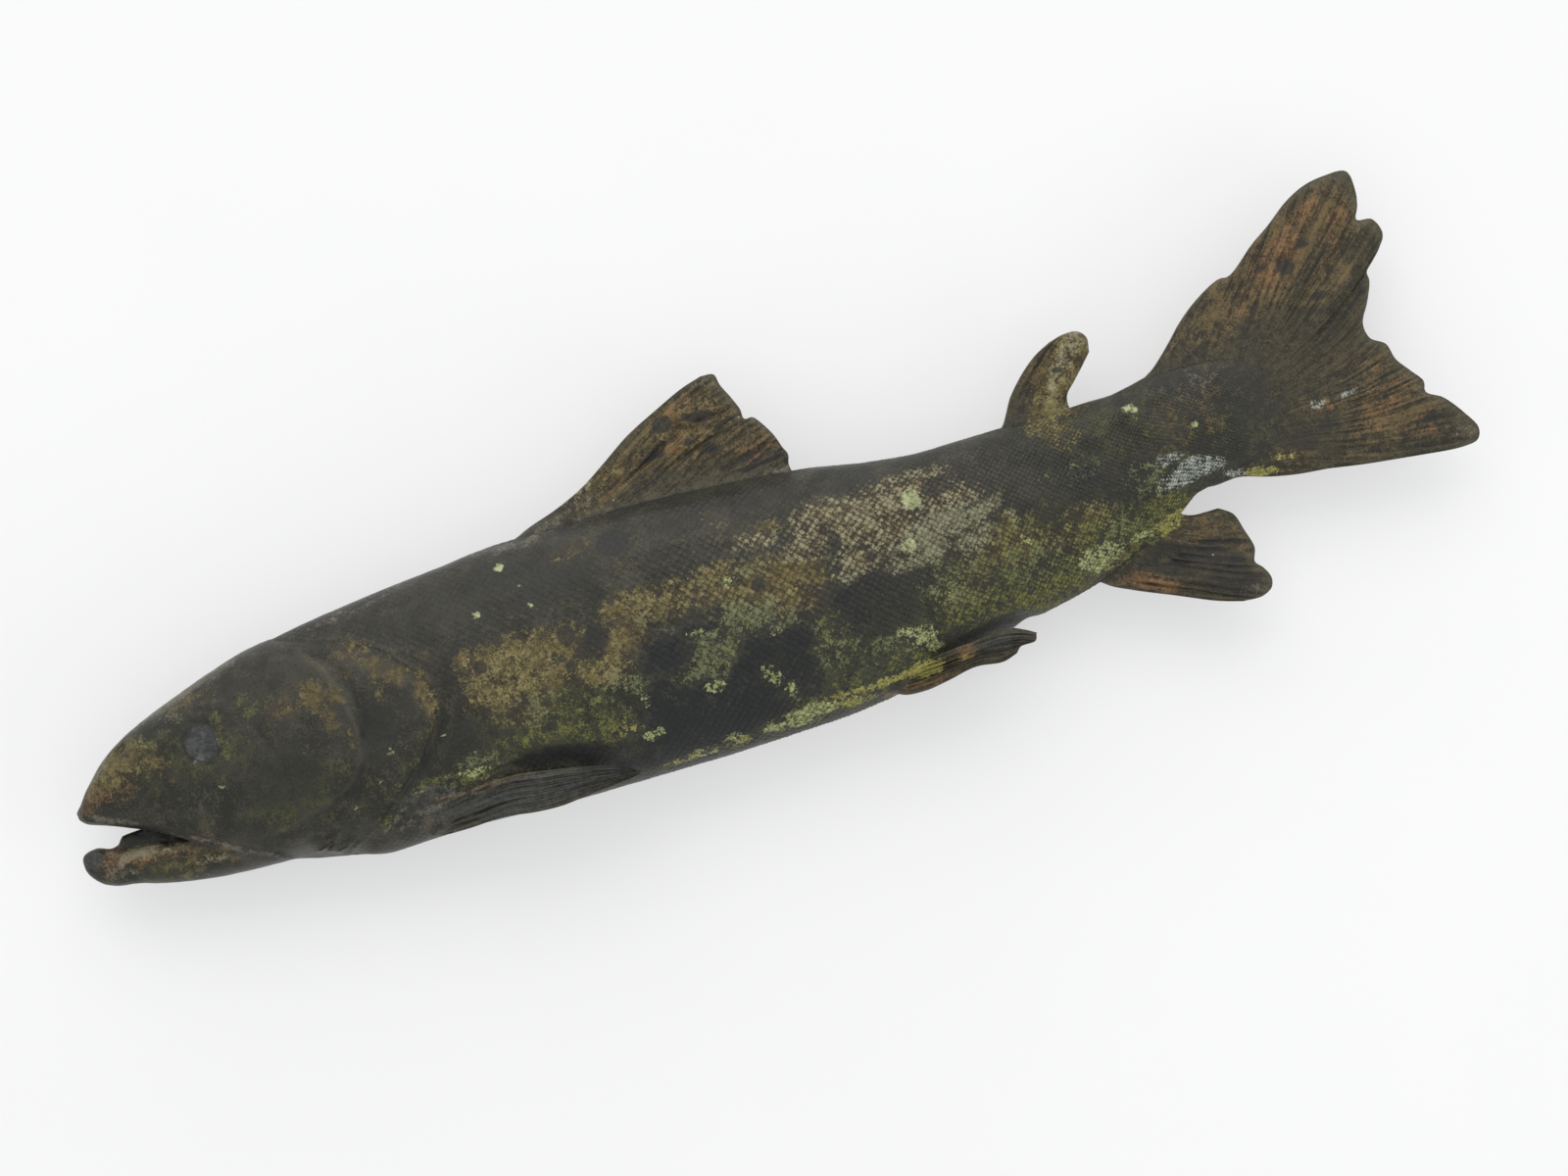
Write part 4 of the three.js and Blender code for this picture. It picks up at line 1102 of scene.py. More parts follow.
        (-82, -31, 8, 2, 0.7), (92, -21, 8, 4, 0.6), (84, -4, 12, 5, 0.35), (-8, -5, 12, 3, 0.5),
        (-30, -9, 8, 3, 0.4), (9, -26, 5, 4, 0.5),
    ],
    "earth": [
        (-8, 34, 16, 8, 0.85, 25), (6, 27, 9, 5, 0.9), (-28, 28, 12, 4, 0.85, 28),
        (0, 42, 7, 4, 0.7), (88, 19, 7, 9, 1.2, 50), (92, 27, 6, 4, 1.2), (150, 33, 17, 8, 1.2, 42),
        (165, 38, 9, 9, 1.2), (134, 24, 12, 6, 0.9, 45), (120, 20, 6, 4, 0.5, 45),
        (118, 0, 18, 9, 0.45), (160, 24, 10, 5, 0.8, 30), (168, -14, 13, 8, 0.95, -20),
        (160, -20, 14, 3.5, 0.7, -8), (163, 0, 8, 4, 0.6), (140, -17, 8, 3, 0.6, -10),
        (148, -6, 8, 3, 0.6), (112, -30, 9, 4, 0.8), (120, -34, 3, 6, 0.35), (108, -26, 10, 2, 0.7),
        (100, -33, 5, 2, 0.5), (114, -46, 7, 2, 0.4), (-80, -38, 14, 2, 0.7),
        (-60, -41, 12, 2, 0.5), (36, -45, 10, 1.4, 0.6), (-67, -18, 12, 6, 0.4),
        (-128, -3, 5, 3, 0.5), (-108, 3, 6, 5, 0.5), (-174, -10, 10, 5, 0.7),
        (-158, -33, 12, 2.5, 0.6), (-172, -29, 9, 2.6, 0.8), (-150, 6, 12, 2, 0.6, 15),
    ],
    # Rubbed wear on ridges and tips, and painted highlights along the upper edges of the back, nape
    # and head, the lip's ridge and the pectoral's top edge
    "wear_and_highlight": [
        (-151, -31.6, 18, 0.8, 0.8, -30), (-176, -18.2, 9, 0.9, 0.8, -26),
        (-88, -38, 8, 0.5, 0.9, -6), (-72, -38, 12, 0.5, 0.5, -4), (-54, -40.6, 9, 0.45, 0.8, -22),
        (-50, 21.2, 10, 1.3, 0.7, 12), (-106, -39, 6, 0.9, 0.7, 30), (-178, -31.6, 5, 1, 0.7, -14),
        (-173, -28, 8, 1.2, 0.7, -8), (-160, -37.6, 8, 0.8, 0.5, -10), (-60, 20, 40, 1, 0.55, 2),
        (-104, 15.6, 24, 0.9, 0.5, 8), (-152, 8.2, 20, 2.2, 1.15, 16), (-178, -29.4, 4, 2.2, 0.8),
        (-186, -11, 3, 3, 0.8), (118, 1, 14, 7, 0.25), (-98, -39.5, 9, 1.2, 0.7, 16),
        (-176, -4.6, 7, 1.2, 1, 42), (-155, 3, 9, 4, 0.45), (-36, 25.6, 9, 1.6, 0.6, 22),
        (20, 16.4, 16, 1, 0.7, -8), (120, 8, 14, 6, 0.35), (0, 45, 6, 1, 0.7, 10),
        (183, -24, 4, 2.4, 0.6), (120, -46, 5, 2, 0.5), (12, 31, 5, 1, 0.6, -50),
        (172, 48, 6, 1.2, 0.5, -10),
    ],
    # Painted shade in the recesses over the paired fins, in the mouth, along the preopercle, in the
    # gill cover's valley and at the dorsal fin's root
    "painted_shade": [
        (-64, -35.4, 10, 2.6, 1.2, -6), (-54, -38.4, 8, 3, 1.3, -24),
        (-47.5, -42.4, 4, 1.8, 1.1, -40), (51, -36.6, 11, 1.5, 1.1, 3), (61, -38, 4, 1.6, 0.9),
        (-171, -24.6, 5, 1.6, 1), (-108.2, -6, 1.1, 6, 0.5), (-108, -15, 1.2, 5, 0.7),
        (-111.4, -24, 4, 1.2, 0.85, 56), (-118.6, -29.8, 5.6, 1.1, 0.85, 20),
        (-127, -32, 4.4, 1, 0.6, 10), (-89, -18.5, 1.8, 5, 0.6, -22),
        (-94.6, -26.6, 5, 1.9, 0.62, 52), (-102, -32.6, 5.4, 1.7, 0.5, 38),
        (-169, -22.4, 5, 1.3, 1.1, -16), (8, 20.8, 8, 0.7, 1.1, 3), (4, 24, 8, 0.7, 0.6, 6),
        (-7, 28.8, 7, 0.7, 0.5, 22), (-157, -27.6, 9, 0.5, 0.7, -30), (-151, -36.4, 2, 1, 0.8),
    ],
    # Dark patina, and painted shade in the rows just below the back's edge, over the pectoral and
    # pelvic fins' recesses and in the dorsal fin's fold
    "dark": [
        (26, -21.8, 13, 7.6, 1.25), (9, -20, 7, 5, 0.5), (20, -17, 6, 3, 0.85),
        (39, -19, 5, 2.4, 0.7), (14, -30, 6, 5, 0.5), (46, -20.6, 7, 4, 0.6), (57, -23, 4, 3, 0.4),
        (77, -14, 5, 3, 0.6), (70, -34.4, 5, 1.2, 0.6), (-84, 8, 18, 6, 0.4), (8, 25, 6, 3, 0.6),
        (-62, 12, 30, 4, 0.6), (-4, 13, 22, 4, 0.6), (70, -12, 4, 5, 0.8), (84, -8, 9, 5, 0.75),
        (75, 3, 8, 4, 0.7), (28, 8, 8, 1.6, 0.6), (100, -10, 7, 5, 0.6), (-84, -25, 5, 6, 0.8),
        (-84, -4, 4, 10, 0.5), (-50, 6, 16, 3, 0.6), (-132, -21, 14, 9, 0.5),
        (-104, -14, 6, 6, 0.6), (-128, 4, 8, 4, 0.5), (106, -34, 11, 4.4, 1.05, -20),
        (115, -42, 9, 4.4, 0.9, -20), (160, 10, 9, 4, 0.4), (-47, -11, 3.4, 3, 0.75),
        (143, -14, 5, 2.6, 0.7), (150, -18, 9, 2, 0.5), (60, -35, 5, 1.2, 0.6),
        (48, -35, 8, 1.6, 0.7), (-62, -35, 9, 2.4, 0.9, -12),
    ],
    "spots": [
        (-33.4, 12.4, 4.4, 3.4, 0.9), (-75, -8, 2, 1.8, 0.9), (-51.6, -6.8, 2.6, 3, 0.9),
        (-44, -9.5, 3.2, 4, 0.7), (19.2, -10.2, 1.6, 1.6, 0.8), (28.4, -10, 2.4, 2, 0.6),
        (-0.8, -8.5, 2.2, 2, 0.8), (9, 0.7, 3, 2.6, 0.5), (-93.6, -8, 1.6, 2, 0.6),
        (49.2, 2.2, 3.6, 2.4, 1.05), (20.6, -3.6, 1.7, 2.8, 0.95), (-12.6, 37.4, 2.8, 2.2, 0.9),
        (-3, 28.4, 2.2, 1.5, 0.8), (-16.5, 30.4, 2.6, 1.1, 0.9), (-7.4, 31.4, 1.3, 0.9, 0.9),
        (-2.6, 37, 3.6, 1.6, 0.8), (88, 21.6, 1.5, 0.9, 0.9), (151.2, 29.6, 2.5, 2.1, 0.9),
        (157, 34, 2.4, 1.4, 0.7), (118, -7.8, 1.6, 1.2, 0.7), (-116, -26, 2, 1.4, 0.4),
        (145, 31, 2.2, 1.2, 0.6), (157, 20, 3, 1.4, 0.6), (30, -16, 3, 2, 0.6),
        (112, -33, 3, 2, 0.8), (118, -38, 2.4, 1.8, 0.7), (104, -33.6, 3, 1.6, 0.7),
        (176, -18, 3, 2, 0.5), (150, -12, 4, 1.6, 0.5),
    ],
    "discs": [
        (42.4, 0.8, 2.4, 2.8, 1.2, 15), (38.4, -10.8, 2.6, 2.6, 0.72), (102, 6.6, 2.1, 1.5, 0.5),
        (103.6, 5, 1.2, 2, 0.6), (-63, 15, 1.7, 1.1, 0.8), (-72, 5, 1.6, 1.3, 0.7),
        (-59, 9.2, 1.2, 0.8, 0.6), (-58.2, 3.4, 0.8, 0.8, 0.8), (-103.2, -21.8, 1.4, 1.4, 0.55),
        (-107.4, -28.6, 0.8, 0.8, 0.5), (-116, -33, 0.8, 0.8, 0.6), (117.4, -2.2, 1.1, 1, 0.7),
        (-146.8, -18, 1.4, 0.8, 0.5),
    ],
}


# How each kind of patch breaks up: how far its outline wanders, and where it fades
LOOSE, CRISP = (1.8, (0.1, 1.7)), (0.5, (0.5, 1.4))
CRISP_PATCHES = ("spots", "discs")
RIGHT_SHIFT = (17, 2)  # how far the hidden right side's patches lie from the left side's
TAIL_SKIN = 104  # x behind which the tail's rays run out softly over the body
HUMPED_FROM = (-42, -8)  # x where the crusts change from smears to the scales' humps


def cover(places, patches, edge):
    """How strongly patches lie over places, from 0 to a little over 1."""
    total = np.zeros(len(places))
    for x, y, long, wide, strength, *turn in patches:
        far = from_patch(places, x, y, long, wide, math.radians(sum(turn)))
        total = np.maximum(total, strength * (1 - smoothstep(far, *edge)))
    return total


def hollows(points, edges):
    """How far each point lies below its neighbours, in mm, over a few steps of the skin."""
    return np.stack([averaged(line, edges, 8) - line for line in points.T], axis=-1)


def patch_strength(name, points):
    """How strongly one kind of patch lies on each point."""
    places = seen(points)
    left = points[:, 2] > MIDDLE
    wander, edge = CRISP if name in CRISP_PATCHES else LOOSE
    warp = np.stack([cloud(points, 9, seed) - 0.5 for seed in (81, 91)], -1) * 2 * wander
    strength = cover(places + warp, PATCHES[name], edge)
    if name in CRISP_PATCHES:
        return np.where(left, strength, 0)
    # The right side wears the same patches, moved along it and thinned
    behind = cover(places + warp + RIGHT_SHIFT, PATCHES[name], edge)
    behind *= 0.3 + cloud(points, 30, 95)
    return np.where(left, strength, np.minimum(behind, strength + 0.4))


def mark_patina(mesh):
    """Writes where each part of the surface is, and the patches of the patina, of painted shade
    and of painted highlights, for the material.
    """
    points, edges, skin = read_points(mesh), read_edges(mesh), read_skin(mesh)
    places = seen(points)
    for name in PATCHES:
        write_mark(mesh, name, patch_strength(name, points))
    on_scales = (skin == SKINS.index("trunk")) & (points[:, 0] > HEAD_START)
    fade = 1 - smoothstep(points[:, 0], *SCALES_FADE)
    scaled = averaged(on_scales * fade, edges, 10)
    write_mark(mesh, "scaled", scaled)
    # Towards the rear the crusts keep to the scales' humps, and at the front they smear over
    write_mark(mesh, "humped", scaled * (0.2 + 0.8 * smoothstep(places[:, 0], *HUMPED_FROM)))
    on_fins = (skin >= FIRST_FIN).astype(float)
    on_fins *= smoothstep(read_mark(mesh, "reach"), 0.03, 0.3)
    on_tail = (skin == SKINS.index("tail")) | (points[:, 0] > TAIL_SKIN)
    write_mark(mesh, "finned", np.where(
        on_tail, averaged(on_fins, edges, 90), averaged(on_fins, edges, 12)
    ))
    from_eye = from_patch(places, *EYE_SEEN, *EYE_OPENING)
    write_mark(mesh, "eyed", 1 - smoothstep(from_eye, 0.9, 1.0))
    write_mark(mesh, "eye_line", np.exp(-((from_eye - 1.04) / 0.1) ** 2))
    # How deep each point lies in a hollow, which the material darkens as painted shade
    normal = np.empty(3 * len(points), np.float32)
    mesh.vertices.foreach_get("normal", normal)
    dip = (hollows(points, edges) * normal.reshape(-1, 3)).sum(axis=1)
    write_mark(mesh, "hollow", np.clip(dip, -0.6, 0.9))


class Field:
    """A number or colour made by a material's nodes, so that patterns read as formulas."""

    def __init__(self, nodes, socket):
        self.nodes, self.socket = nodes, socket

    def _with(self, operation, *others):
        return self.nodes.math(operation, self, *others)

    def __add__(self, other):
        return self._with("ADD", other)

    def __sub__(self, other):
        return self._with("SUBTRACT", other)

    def __rsub__(self, other):
        return self.nodes.math("SUBTRACT", other, self)

    def __mul__(self, other):
        return self._with("MULTIPLY", other)

    __radd__, __rmul__ = __add__, __mul__

    def round(self):
        return self._with("ROUND")

    def size(self):
        return self._with("ABSOLUTE")

    def top(self, other):
        return self._with("MAXIMUM", other)

    def step(self, low, high):
        """Rises smoothly from 0 at low to 1 at high, or falls where low is above high."""
        if low > high:
            return 1 - self.step(high, low)
        inputs = {"Value": self, "From Min": low, "From Max": high}
        return self.nodes.add("ShaderNodeMapRange", inputs, interpolation_type="SMOOTHSTEP")


COLOUR_SOCKETS, COLOUR_OUTPUT = (0, 6, 7), 2  # of a mix node: share, both colours, and mixed


class Nodes:
    """Makes one material's nodes."""

    def __init__(self, name):
        self.material = bpy.data.materials.new(name)
        self.material.use_nodes = True
        self.tree = self.material.node_tree
        self.shader = self.tree.nodes["Principled BSDF"]
        self.spot = self.add("ShaderNodeTexCoord", {}, "Object")

    def set(self, socket, value):
        if isinstance(value, Field):
            self.tree.links.new(value.socket, socket)
        else:
            socket.default_value = value

    def add(self, kind, inputs, output=0, **settings):
        node = self.tree.nodes.new(kind)
        for name, value in settings.items():
            setattr(node, name, value)
        for name, value in inputs.items():
            self.set(node.inputs[name], value)
        return Field(self, node.outputs[output])

    def math(self, operation, *values):
        return self.add("ShaderNodeMath", dict(enumerate(values)), operation=operation)

    def shade(self, values):
        """Sets the shader's own sockets."""
        for name, value in values.items():
            self.set(self.shader.inputs[name], value)

    def mark(self, name):
        return self.add("ShaderNodeAttribute", {}, "Fac", attribute_name=name)

    def vector(self, x, y, z=0.0):
        return self.add("ShaderNodeCombineXYZ", {"X": x, "Y": y, "Z": z})

    def noise(self, size, detail=3.0, rough=0.6, seed=0.0, spot=None):
        """Noise about a half, with lumps of a size in millimetres, or in spot's own units."""
        scale = 1 / size if spot else 1 / (size * MM)
        inputs = {
            "Vector": spot or self.spot, "W": seed, "Scale": scale, "Detail": detail,
            "Roughness": rough,
        }
        return self.add("ShaderNodeTexNoise", inputs, noise_dimensions="4D")

    def grit(self, size, detail=4.0, rough=0.65, seed=0.0, spot=None):
        """Noise spread out from about -1 to 1."""
        return (self.noise(size, detail, rough, seed, spot) - 0.5) * 8

    def specks(self, cell, radius, seed):
        """Small round specks of a radius in millimetres, about one to each cell."""
        inputs = {"Vector": self.spot, "W": seed, "Scale": 1 / (cell * MM)}
        far = self.add("ShaderNodeTexVoronoi", inputs, "Distance", voronoi_dimensions="4D")
        return far.step(radius / cell, 0.6 * radius / cell)

    def mix(self, share, one, two):
        inputs = dict(zip(COLOUR_SOCKETS, (share, one, two)))
        return self.add("ShaderNodeMix", inputs, COLOUR_OUTPUT, data_type="RGBA")


TONE_SCALE = 0.95  # evens the studio's light with the photograph's
GLOSS = 0.022  # what the surface's gloss adds to its tone


def tone(red, green, blue):
    """The reflectance of a surface that the photograph shows in a colour of 0 to 255, less
    what its gloss adds."""
    def linear(value):
        value /= 255
        return value / 12.92 if value < 0.04045 else ((value + 0.055) / 1.055) ** 2.4

    return (*(max(TONE_SCALE * linear(v) - GLOSS, 0.004) for v in (red, green, blue)), 1)


# Marks of the mesh that say where a point lies, besides the patches
PLACE_MARKS = (
    "scaled", "humped", "finned", "eyed", "eye_line", "hollow", "scale_along", "scale_across",
    "ray", "reach",
)
# How each crust breaks up: the strength where it starts and where it covers, the shares of what
# roughens its edge, and the patches that it keeps off. What roughens it is middling, blotchy,
# ragged and fine noise, the numbers dealt to the scales, their humps, and the fins' rays.
CRUSTS = {
    "dark": (0.3, 0.75, (0.2, 0.25, 0.3, 0.1), {}),
    "black": (0.42, 0.62, (0.12, 0.35, 0.5, 0.25, 0, -0.05), {}),
    "olive": (0.1, 1.0, (0.2, 0.3, 0.25, 0.15), {"black": 0.5}),
    # Painted shade in recesses and creases
    "painted_shade": (0.3, 0.95, (0.1, 0.2, 0.25, 0.12, 0, -0.1), {}),
    "earth": (0.2, 1.0, (0.15, 0.2, 0.2, 0.15, 0.05, 0.1, 0.4), {"dark": 0.4}),
    "ochre": (0.15, 1.05, (0.22, 0.42, 0.42, 0.24, 0.16, 0.35, 0.4), {"dark": 0.6, "black": 0.9}),
    "tan": (0.15, 1.05, (0.16, 0.34, 0.4, 0.24, 0.18, 0.42), {"dark": 0.5}),
    "khaki": (0.15, 1.05, (0.15, 0.25, 0.34, 0.28, 0.08, 0.25), {"dark": 0.5}),
    "mottle": (0.4, 1.0, (0.1, 0.45, 0.5, 0.35, 0, 0.1), {"black": 0.6}),
    "slate": (0.2, 0.9, (0.1, 0.15, 0.15, 0.1, 0, 0, 0.3), {}),
    "rust": (0.15, 1.05, (0.2, 0.25, 0.2, 0.12, 0, 0, 0.5), {}),
    "yellow": (0.3, 0.9, (0.15, 0.25, 0.35, 0.2, 0, 0.1), {}),
    "moss": (0.12, 1.2, (0.22, 0.4, 0.42, 0.28, 0.06, 0.12), {"black": 0.7}),
    "pale": (0.4, 0.8, (0.12, 0.3, 0.5, 0.3), {}),
    "frost": (0.1, 0.95, (0.15, 0.25, 0.45, 0.3, 0.1, 0.3), {}),
    # Rubbed wear, and painted highlights along upper edges and ridges
    "wear_and_highlight": (0.3, 0.9, (0.1, 0.15, 0.25, 0.15), {}),
}
THICK_CRUSTS = ("ochre", "tan", "khaki", "moss", "pale", "frost")


def scale_cells(n, mark, grain, ragged):
    """Each scale is a cell of the slanting lattice, with a wavering outline. Returns how near a
    point lies to its scale's rim, the scale's hump as relief and as a place for crusts, and a
    number dealt to each scale."""
    stray_one, stray_two = (n.grit(1.1, 2, 0.6, seed) * 0.1 for seed in (12, 13))
    one = mark["scale_along"] + mark["scale_across"]
    two = mark["scale_along"] - mark["scale_across"]
    cell_one, cell_two = one.round(), two.round()
    off_one, off_two = one + stray_one - cell_one, two + stray_two - cell_two
    rim = off_one.size().top(off_two.size()) * 2
    round_off = (off_one * off_one + off_two * off_two) * 4
    hump = (round_off + grain * 0.3 + ragged * 0.2).step(1.5, 0.1)
    knob = mark["humped"] * (0.6 - round_off)
    cell = n.vector(cell_one, cell_two)
    dice = n.add("ShaderNodeTexWhiteNoise", {"Vector": cell}, "Value", noise_dimensions="2D")
    return rim, hump, knob, mark["humped"] * (dice * 2 - 1)


def crust_layers(mark, breakers):
    """Where each crust lies: its patches, broken up by the breakers and kept off others."""
    on = {}
    for name, (low, high, shares, clear) in CRUSTS.items():
        first, *others = (part * share for part, share in zip(breakers, shares))
        edge = mark[name] + sum(others, first) * mark[name].step(0.03, 0.45)
        for other, share in clear.items():
            edge = edge - mark[other] * share
        on[name] = edge.step(low, high)
    return on


def bronze():
    """Dark brown bronze under ochre, green and blue-black corrosion. Pale crusts sit on the
    scales' humps and leave their furrows dark. Painted shade darkens its recesses and hollows,
    and painted highlights lighten its upper edges and ridges."""
    n = Nodes("patinated_bronze")
    mark = {name: n.mark(name) for name in (*PATCHES, *PLACE_MARKS)}
    broad, middling = n.grit(30, 4, 0.6, 1), n.grit(6, 4, 0.6, 2)
    ragged, grain = n.grit(1.9, 4, 0.75, 3), n.grit(0.5, 3, 0.6, 4)
    soil, blotch = n.grit(11, 5, 0.7, 5), n.grit(3.4, 4, 0.7, 10)
    rim, hump, knob, dealt = scale_cells(n, mark, grain, ragged)

    # Streaks run along the fins' rays
    streak = n.grit(1, 3, 0.6, 6, n.vector(mark["ray"] * 0.9, mark["reach"] * 2.0))
    fine_streak = n.grit(1, 3, 0.7, 7, n.vector(mark["ray"] * 2.3, mark["reach"] * 7))
    lines = mark["finned"] * (streak * 0.5 + fine_streak * 0.3)
    furrow = lines.step(-0.1, -0.6)

    on = crust_layers(mark, (middling, blotch, ragged, grain, dealt, knob, lines))
    crust = functools.reduce(Field.top, (on[name] for name in THICK_CRUSTS))
    spots = (mark["spots"] + (ragged * 0.2 + middling * 0.1) * mark["spots"]).step(0.25, 0.6)
    discs = (mark["discs"] + (ragged * 0.4 + blotch * 0.25) * mark["discs"]).step(0.35, 0.7)
    dust = n.specks(6.0, 0.3, 3.0)

    def tint(low, high, share):
        """Between two tones."""
        return n.mix(share.step(-0.8, 0.8), tone(*low), tone(*high))

    thin = mark["scaled"].top(mark["finned"]) * 0.4 + 0.52  # crusts are thin on the bare head
    mixed = grain * 0.45 + dealt * 0.25 + ragged * 0.4 + knob * 0.35
    streaky = grain * 0.35 + ragged * 0.35 + lines * 0.8
    fleck = ragged * 0.5 + grain * 0.5 + blotch * 0.3
    film = (middling * 0.25 + fleck * 0.7 + knob * 0.3).step(-0.1, 1.0)
    crusted = mark["ochre"].top(mark["tan"]).top(mark["khaki"]).step(0.1, 1.0)
    ochre_tone = n.mix(
        (soil * 0.7 + blotch * 0.6).step(0, 0.5),
        tint((78, 71, 46), (144, 134, 94), mixed), tint((74, 65, 42), (122, 110, 74), mixed),
    )
    colour = tint((53, 53, 48), (70, 69, 62), soil * 0.8 + grain * 0.4)
    coats = [
        (broad.step(-0.4, 0.6) * 0.5, tone(60, 60, 57)),
        (on["olive"] * 0.75, tint((47, 51, 38), (76, 78, 54), soil * 0.5 + fleck * 0.6)),
        (mark["finned"] * 0.9, tint((54, 52, 42), (86, 80, 62), streaky)),
        # A thin earthy film gathers here and there everywhere
        (film * (0.5 - on["dark"] * 0.25), tone(100, 94, 74)),
        # Dark patina, and painted shade below the back's edge and over the fins' recesses
        (on["dark"] * 0.75, tint((45, 46, 45), (60, 60, 57), mixed)),
        # Between the crusted scales the ground is brown
        (crusted * (0.6 - on["dark"] * 0.4), tint((72, 62, 43), (98, 87, 60), blotch)),
        (on["earth"] * 0.85, tint((66, 57, 40), (116, 101, 72), streaky)),
        (on["ochre"] * thin, ochre_tone),
        (on["tan"] * 0.92, tint((88, 80, 58), (158, 151, 122), mixed)),
        (on["khaki"] * 0.9, tint((98, 97, 74), (146, 146, 120), mixed)),
        (on["moss"] * thin, tint((60, 60, 32), (122, 123, 70), mixed)),
        (on["mottle"] * 0.85, tint((72, 76, 52), (122, 125, 92), mixed)),
        (on["rust"] * thin, tint((82, 61, 40), (138, 110, 80), streaky)),
        (on["slate"] * 0.8, tint((56, 59, 57), (86, 88, 85), streaky)),
        (on["black"] * 0.92, tint((35, 38, 40), (50, 53, 54), mixed)),
        (on["yellow"] * thin, tint((126, 122, 58), (174, 168, 102), grain)),
        (spots * 0.8, tone(56, 56, 55)),
        (on["pale"] * 0.88, tint((88, 92, 48), (176, 182, 130), mixed)),
        (on["frost"] * 0.85, tint((114, 120, 108), (188, 194, 184), mixed)),
        (discs * 0.88, tint((130, 136, 92), (188, 194, 150), ragged)),
        # Rubbed wear, and painted highlights along the upper edges and ridges
        (on["wear_and_highlight"] * 0.6, tint((90, 87, 76), (130, 126, 112), mixed)),
        (mark["eyed"] * 0.9, tint((62, 64, 66), (86, 87, 85), middling + ragged)),
        (mark["eye_line"] * 0.55, tone(47, 48, 43)),
        # Furrows keep dark dirt, and raised edges are rubbed a little lighter. Hollows of the skin
        # are darkened as painted shade
        (mark["humped"] * rim.step(0.5, 1.05) * (0.05 + crust * 0.22), tone(50, 45, 34)),
        (furrow * 0.25, tone(46, 43, 34)),
        # Painted shade in the recesses and creases
        (on["painted_shade"] * 0.9, tone(26, 26, 22)),
        (mark["hollow"].step(0.12, 0.55) * 0.6, tone(36, 36, 31)),
        (mark["hollow"].step(-0.12, -0.45) * 0.22, tone(116, 109, 92)),
        (n.specks(4.2, 0.32, 9.0) * 0.5, tone(38, 38, 34)),
        (dust * 0.85, tone(200, 202, 190)),
    ]
    for share, coat in coats:
        colour = n.mix(share, colour, coat)

    height = mark["scaled"] * hump * 0.06 + grain * 0.016 + ragged * 0.03
    height = height + n.noise(0.22, 2, 0.5, 8) * 0.03 + crust * 0.05 + blotch * 0.04
    height = height + lines * 0.06 - furrow * 0.03 + discs * 0.06 + dust * 0.1
    n.shade({
        "Base Color": colour,
        "Metallic": (1 - crust) * 0.3,
        "Roughness": 0.47 + crust * 0.3 - on["dark"] * 0.04 + grain * 0.04,
        "Specular IOR Level": 0.5,
        "Sheen Weight": 0.06,
        "Sheen Roughness": 0.4,
        "Normal": n.add("ShaderNodeBump", {"Height": height, "Distance": MM, "Strength": 1.0}),
    })
    return n.material


def carry_rays(mesh, fins):
    """Lets the fins' ray marks run on over the body around their roots."""
    points, skin = read_points(mesh), read_mark(mesh, "skin")
    spots = np.concatenate([fin.points for fin in fins])
    tree = tree_of(spots, range(len(spots)))
    near = {}
    for i in np.flatnonzero(skin < FIRST_FIN - 0.5):
        _, j, far = tree.find(points[i])
        if far < RAY_REACH:
            near[i] = j
    for name in ("ray", "reach"):
        values = read_mark(mesh, name)
        values[list(near)] = np.concatenate([fin.marks[name] for fin in fins])[list(near.values())]
        write_mark(mesh, name, values)


def casting():
    """The skins of the whole fish, joined into one closed mesh."""
    skins = [
        ("trunk", trunk()), ("head", head()), ("jaw", lower_jaw()), ("lip", lip(1)),
        ("lip", lip(-1)), ("eye", eye(1)), ("eye", eye(-1)), ("dorsal", fin(DORSAL, seed=1)),
        ("adipose", fin(ADIPOSE, seed=2)), ("anal", fin(ANAL, seed=3)),
        ("tail", fin(TAIL, seed=4, per_ray=4)), ("pectoral", fin(PECTORAL, seed=5)),
        ("pectoral", fin(PECTORAL, -1, TUCK, seed=6, per_ray=3)),
        ("pelvic", fin(PELVIC, seed=7)), ("pelvic", fin(PELVIC, -1, TUCK, seed=8, per_ray=3)),
    ]
    whole = None
    for name, shell in skins:
        shell.marks["skin"] = np.full(len(shell.points), SKINS.index(name))
        piece = to_object(name, shell)
        if whole is None:
            whole = piece
        else:
            join(whole, piece)
    whole.name = "fish_casting"
    carry_rays(whole.data, [shell for name, shell in skins if name in SKINS[FIRST_FIN:]])
    return whole


def crease_furrows(mesh, relief_kept):
    """Keeps the furrows between the scales crisp, away from the softened seams."""
    on_trunk = read_mark(mesh, "skin") < 0.5
    in_furrow = (read_mark(mesh, "furrow") * relief_kept > 0.55) & on_trunk
    sharp = mesh.attributes.new("sharp_edge", "BOOLEAN", "EDGE")
    sharp.data.foreach_set("value", in_furrow[read_edges(mesh)].all(axis=1))


fish = casting()
relief_kept = soften_seams(fish.data)
mark_patina(fish.data)
fish.data.shade_smooth()
crease_furrows(fish.data, relief_kept)
fish.data.materials.clear()
fish.data.materials.append(bronze())
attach(fish, "root")
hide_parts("fish")

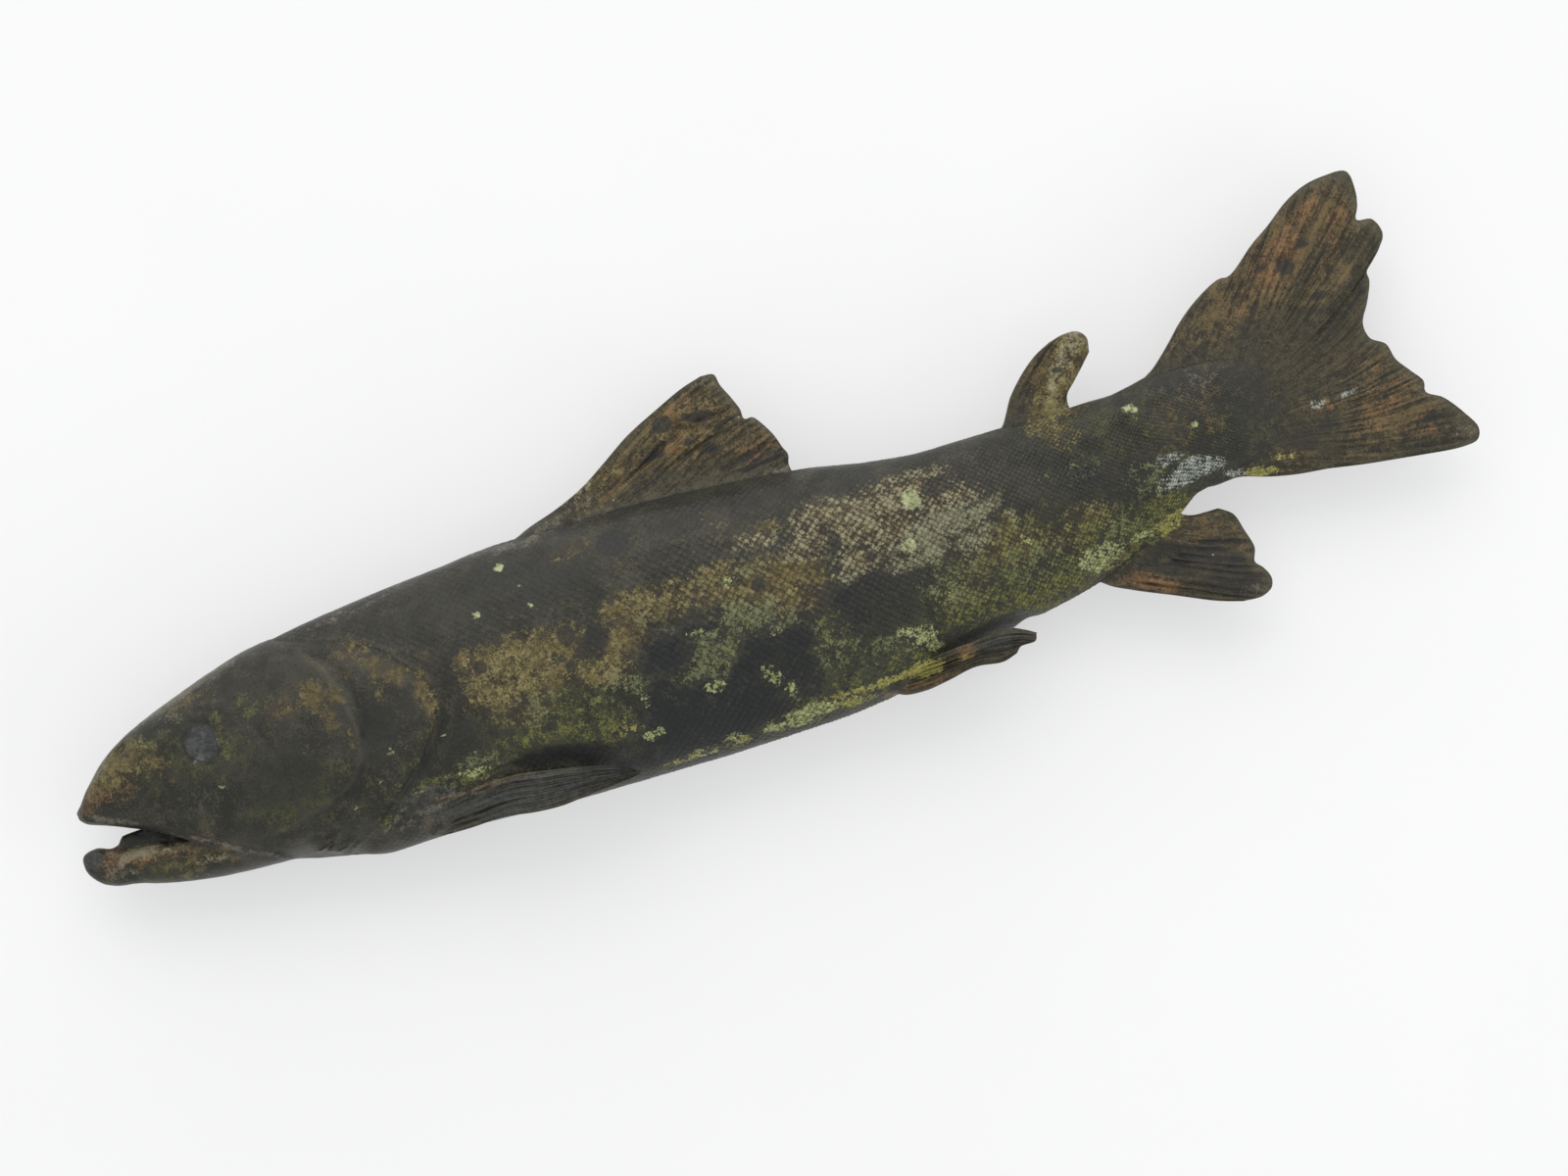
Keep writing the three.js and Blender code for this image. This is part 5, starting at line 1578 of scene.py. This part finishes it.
# Floor, light and camera, with directions as the camera sees them
PHOTO_TURN = math.radians(17)  # the fish's length against the photograph's rows
LENS, SENSOR = 85, 36
RIGHT = Vector((math.cos(PHOTO_TURN), -math.sin(PHOTO_TURN), 0))
UP = Vector((math.sin(PHOTO_TURN), math.cos(PHOTO_TURN), 0))
OUT = Vector((0, 0, 1))
AIM = Vector((VIEW_CENTRE[0] * MM, VIEW_CENTRE[1] * MM, MIDDLE * MM))
FLOOR_HALF = 3  # metres
FLOOR_TONES = (0.47, 0.47, 0.47, 1), (0.49, 0.49, 0.49, 1)
FLOOR_GLOW = 0.44
ROOM_COLOUR, ROOM_LIGHT = (0.96, 0.975, 1, 1), 0.8

floor_mesh = bpy.data.meshes.new("floor")
corners = [(x * FLOOR_HALF, y * FLOOR_HALF, 0) for x, y in ((-1, -1), (1, -1), (1, 1), (-1, 1))]
floor_mesh.from_pydata(corners, [], [(0, 1, 2, 3)])
floor = add_object("floor", floor_mesh)
paper = Nodes("white_paper")
paper.shade({
    "Base Color": paper.mix(paper.noise(60, 3, 0.5, 1), *FLOOR_TONES),
    "Roughness": 0.9,
    "Specular IOR Level": 0.1,
    "Emission Color": (1, 1, 1, 1),
    "Emission Strength": FLOOR_GLOW,
})
floor.data.materials.append(paper.material)

camera_data = bpy.data.cameras.new("camera")
camera_data.lens = LENS
camera_data.sensor_width = SENSOR
camera = add_object("camera", camera_data)
stand = AIM + OUT * CAMERA_DISTANCE * MM
camera.matrix_world = Matrix([*zip(RIGHT, UP, OUT, stand), (0, 0, 0, 1)])
bpy.context.scene.camera = camera


def softbox(name, place, size, power, colour):
    """A flat lamp that faces the fish."""
    data = bpy.data.lights.new(name, "AREA")
    data.shape = "RECTANGLE"
    data.size, data.size_y = size
    data.energy = power
    data.color = colour
    lamp = add_object(name, data)
    lamp.location = place
    lamp.rotation_euler = (AIM - lamp.location).to_track_quat("-Z", "Y").to_euler()


softbox("window", AIM + UP * 1.7 - RIGHT * 0.3 + OUT * 1.9, (2.6, 1.8), 24, (1, 0.975, 0.94))
softbox("wall", AIM + UP * 2.6 + RIGHT * 0.4 + OUT * 0.5, (3.2, 0.9), 15, (1, 0.985, 0.96))
softbox("fill", AIM + RIGHT * 1.3 - UP * 0.7 + OUT * 0.7, (0.9, 0.7), 3.5, (1, 0.99, 0.98))
world = bpy.data.worlds.new("room")
world.use_nodes = True
room_light = world.node_tree.nodes["Background"]
room_light.inputs["Color"].default_value = ROOM_COLOUR
room_light.inputs["Strength"].default_value = ROOM_LIGHT
bpy.context.scene.world = world
bpy.context.scene.view_settings.view_transform = "Standard"
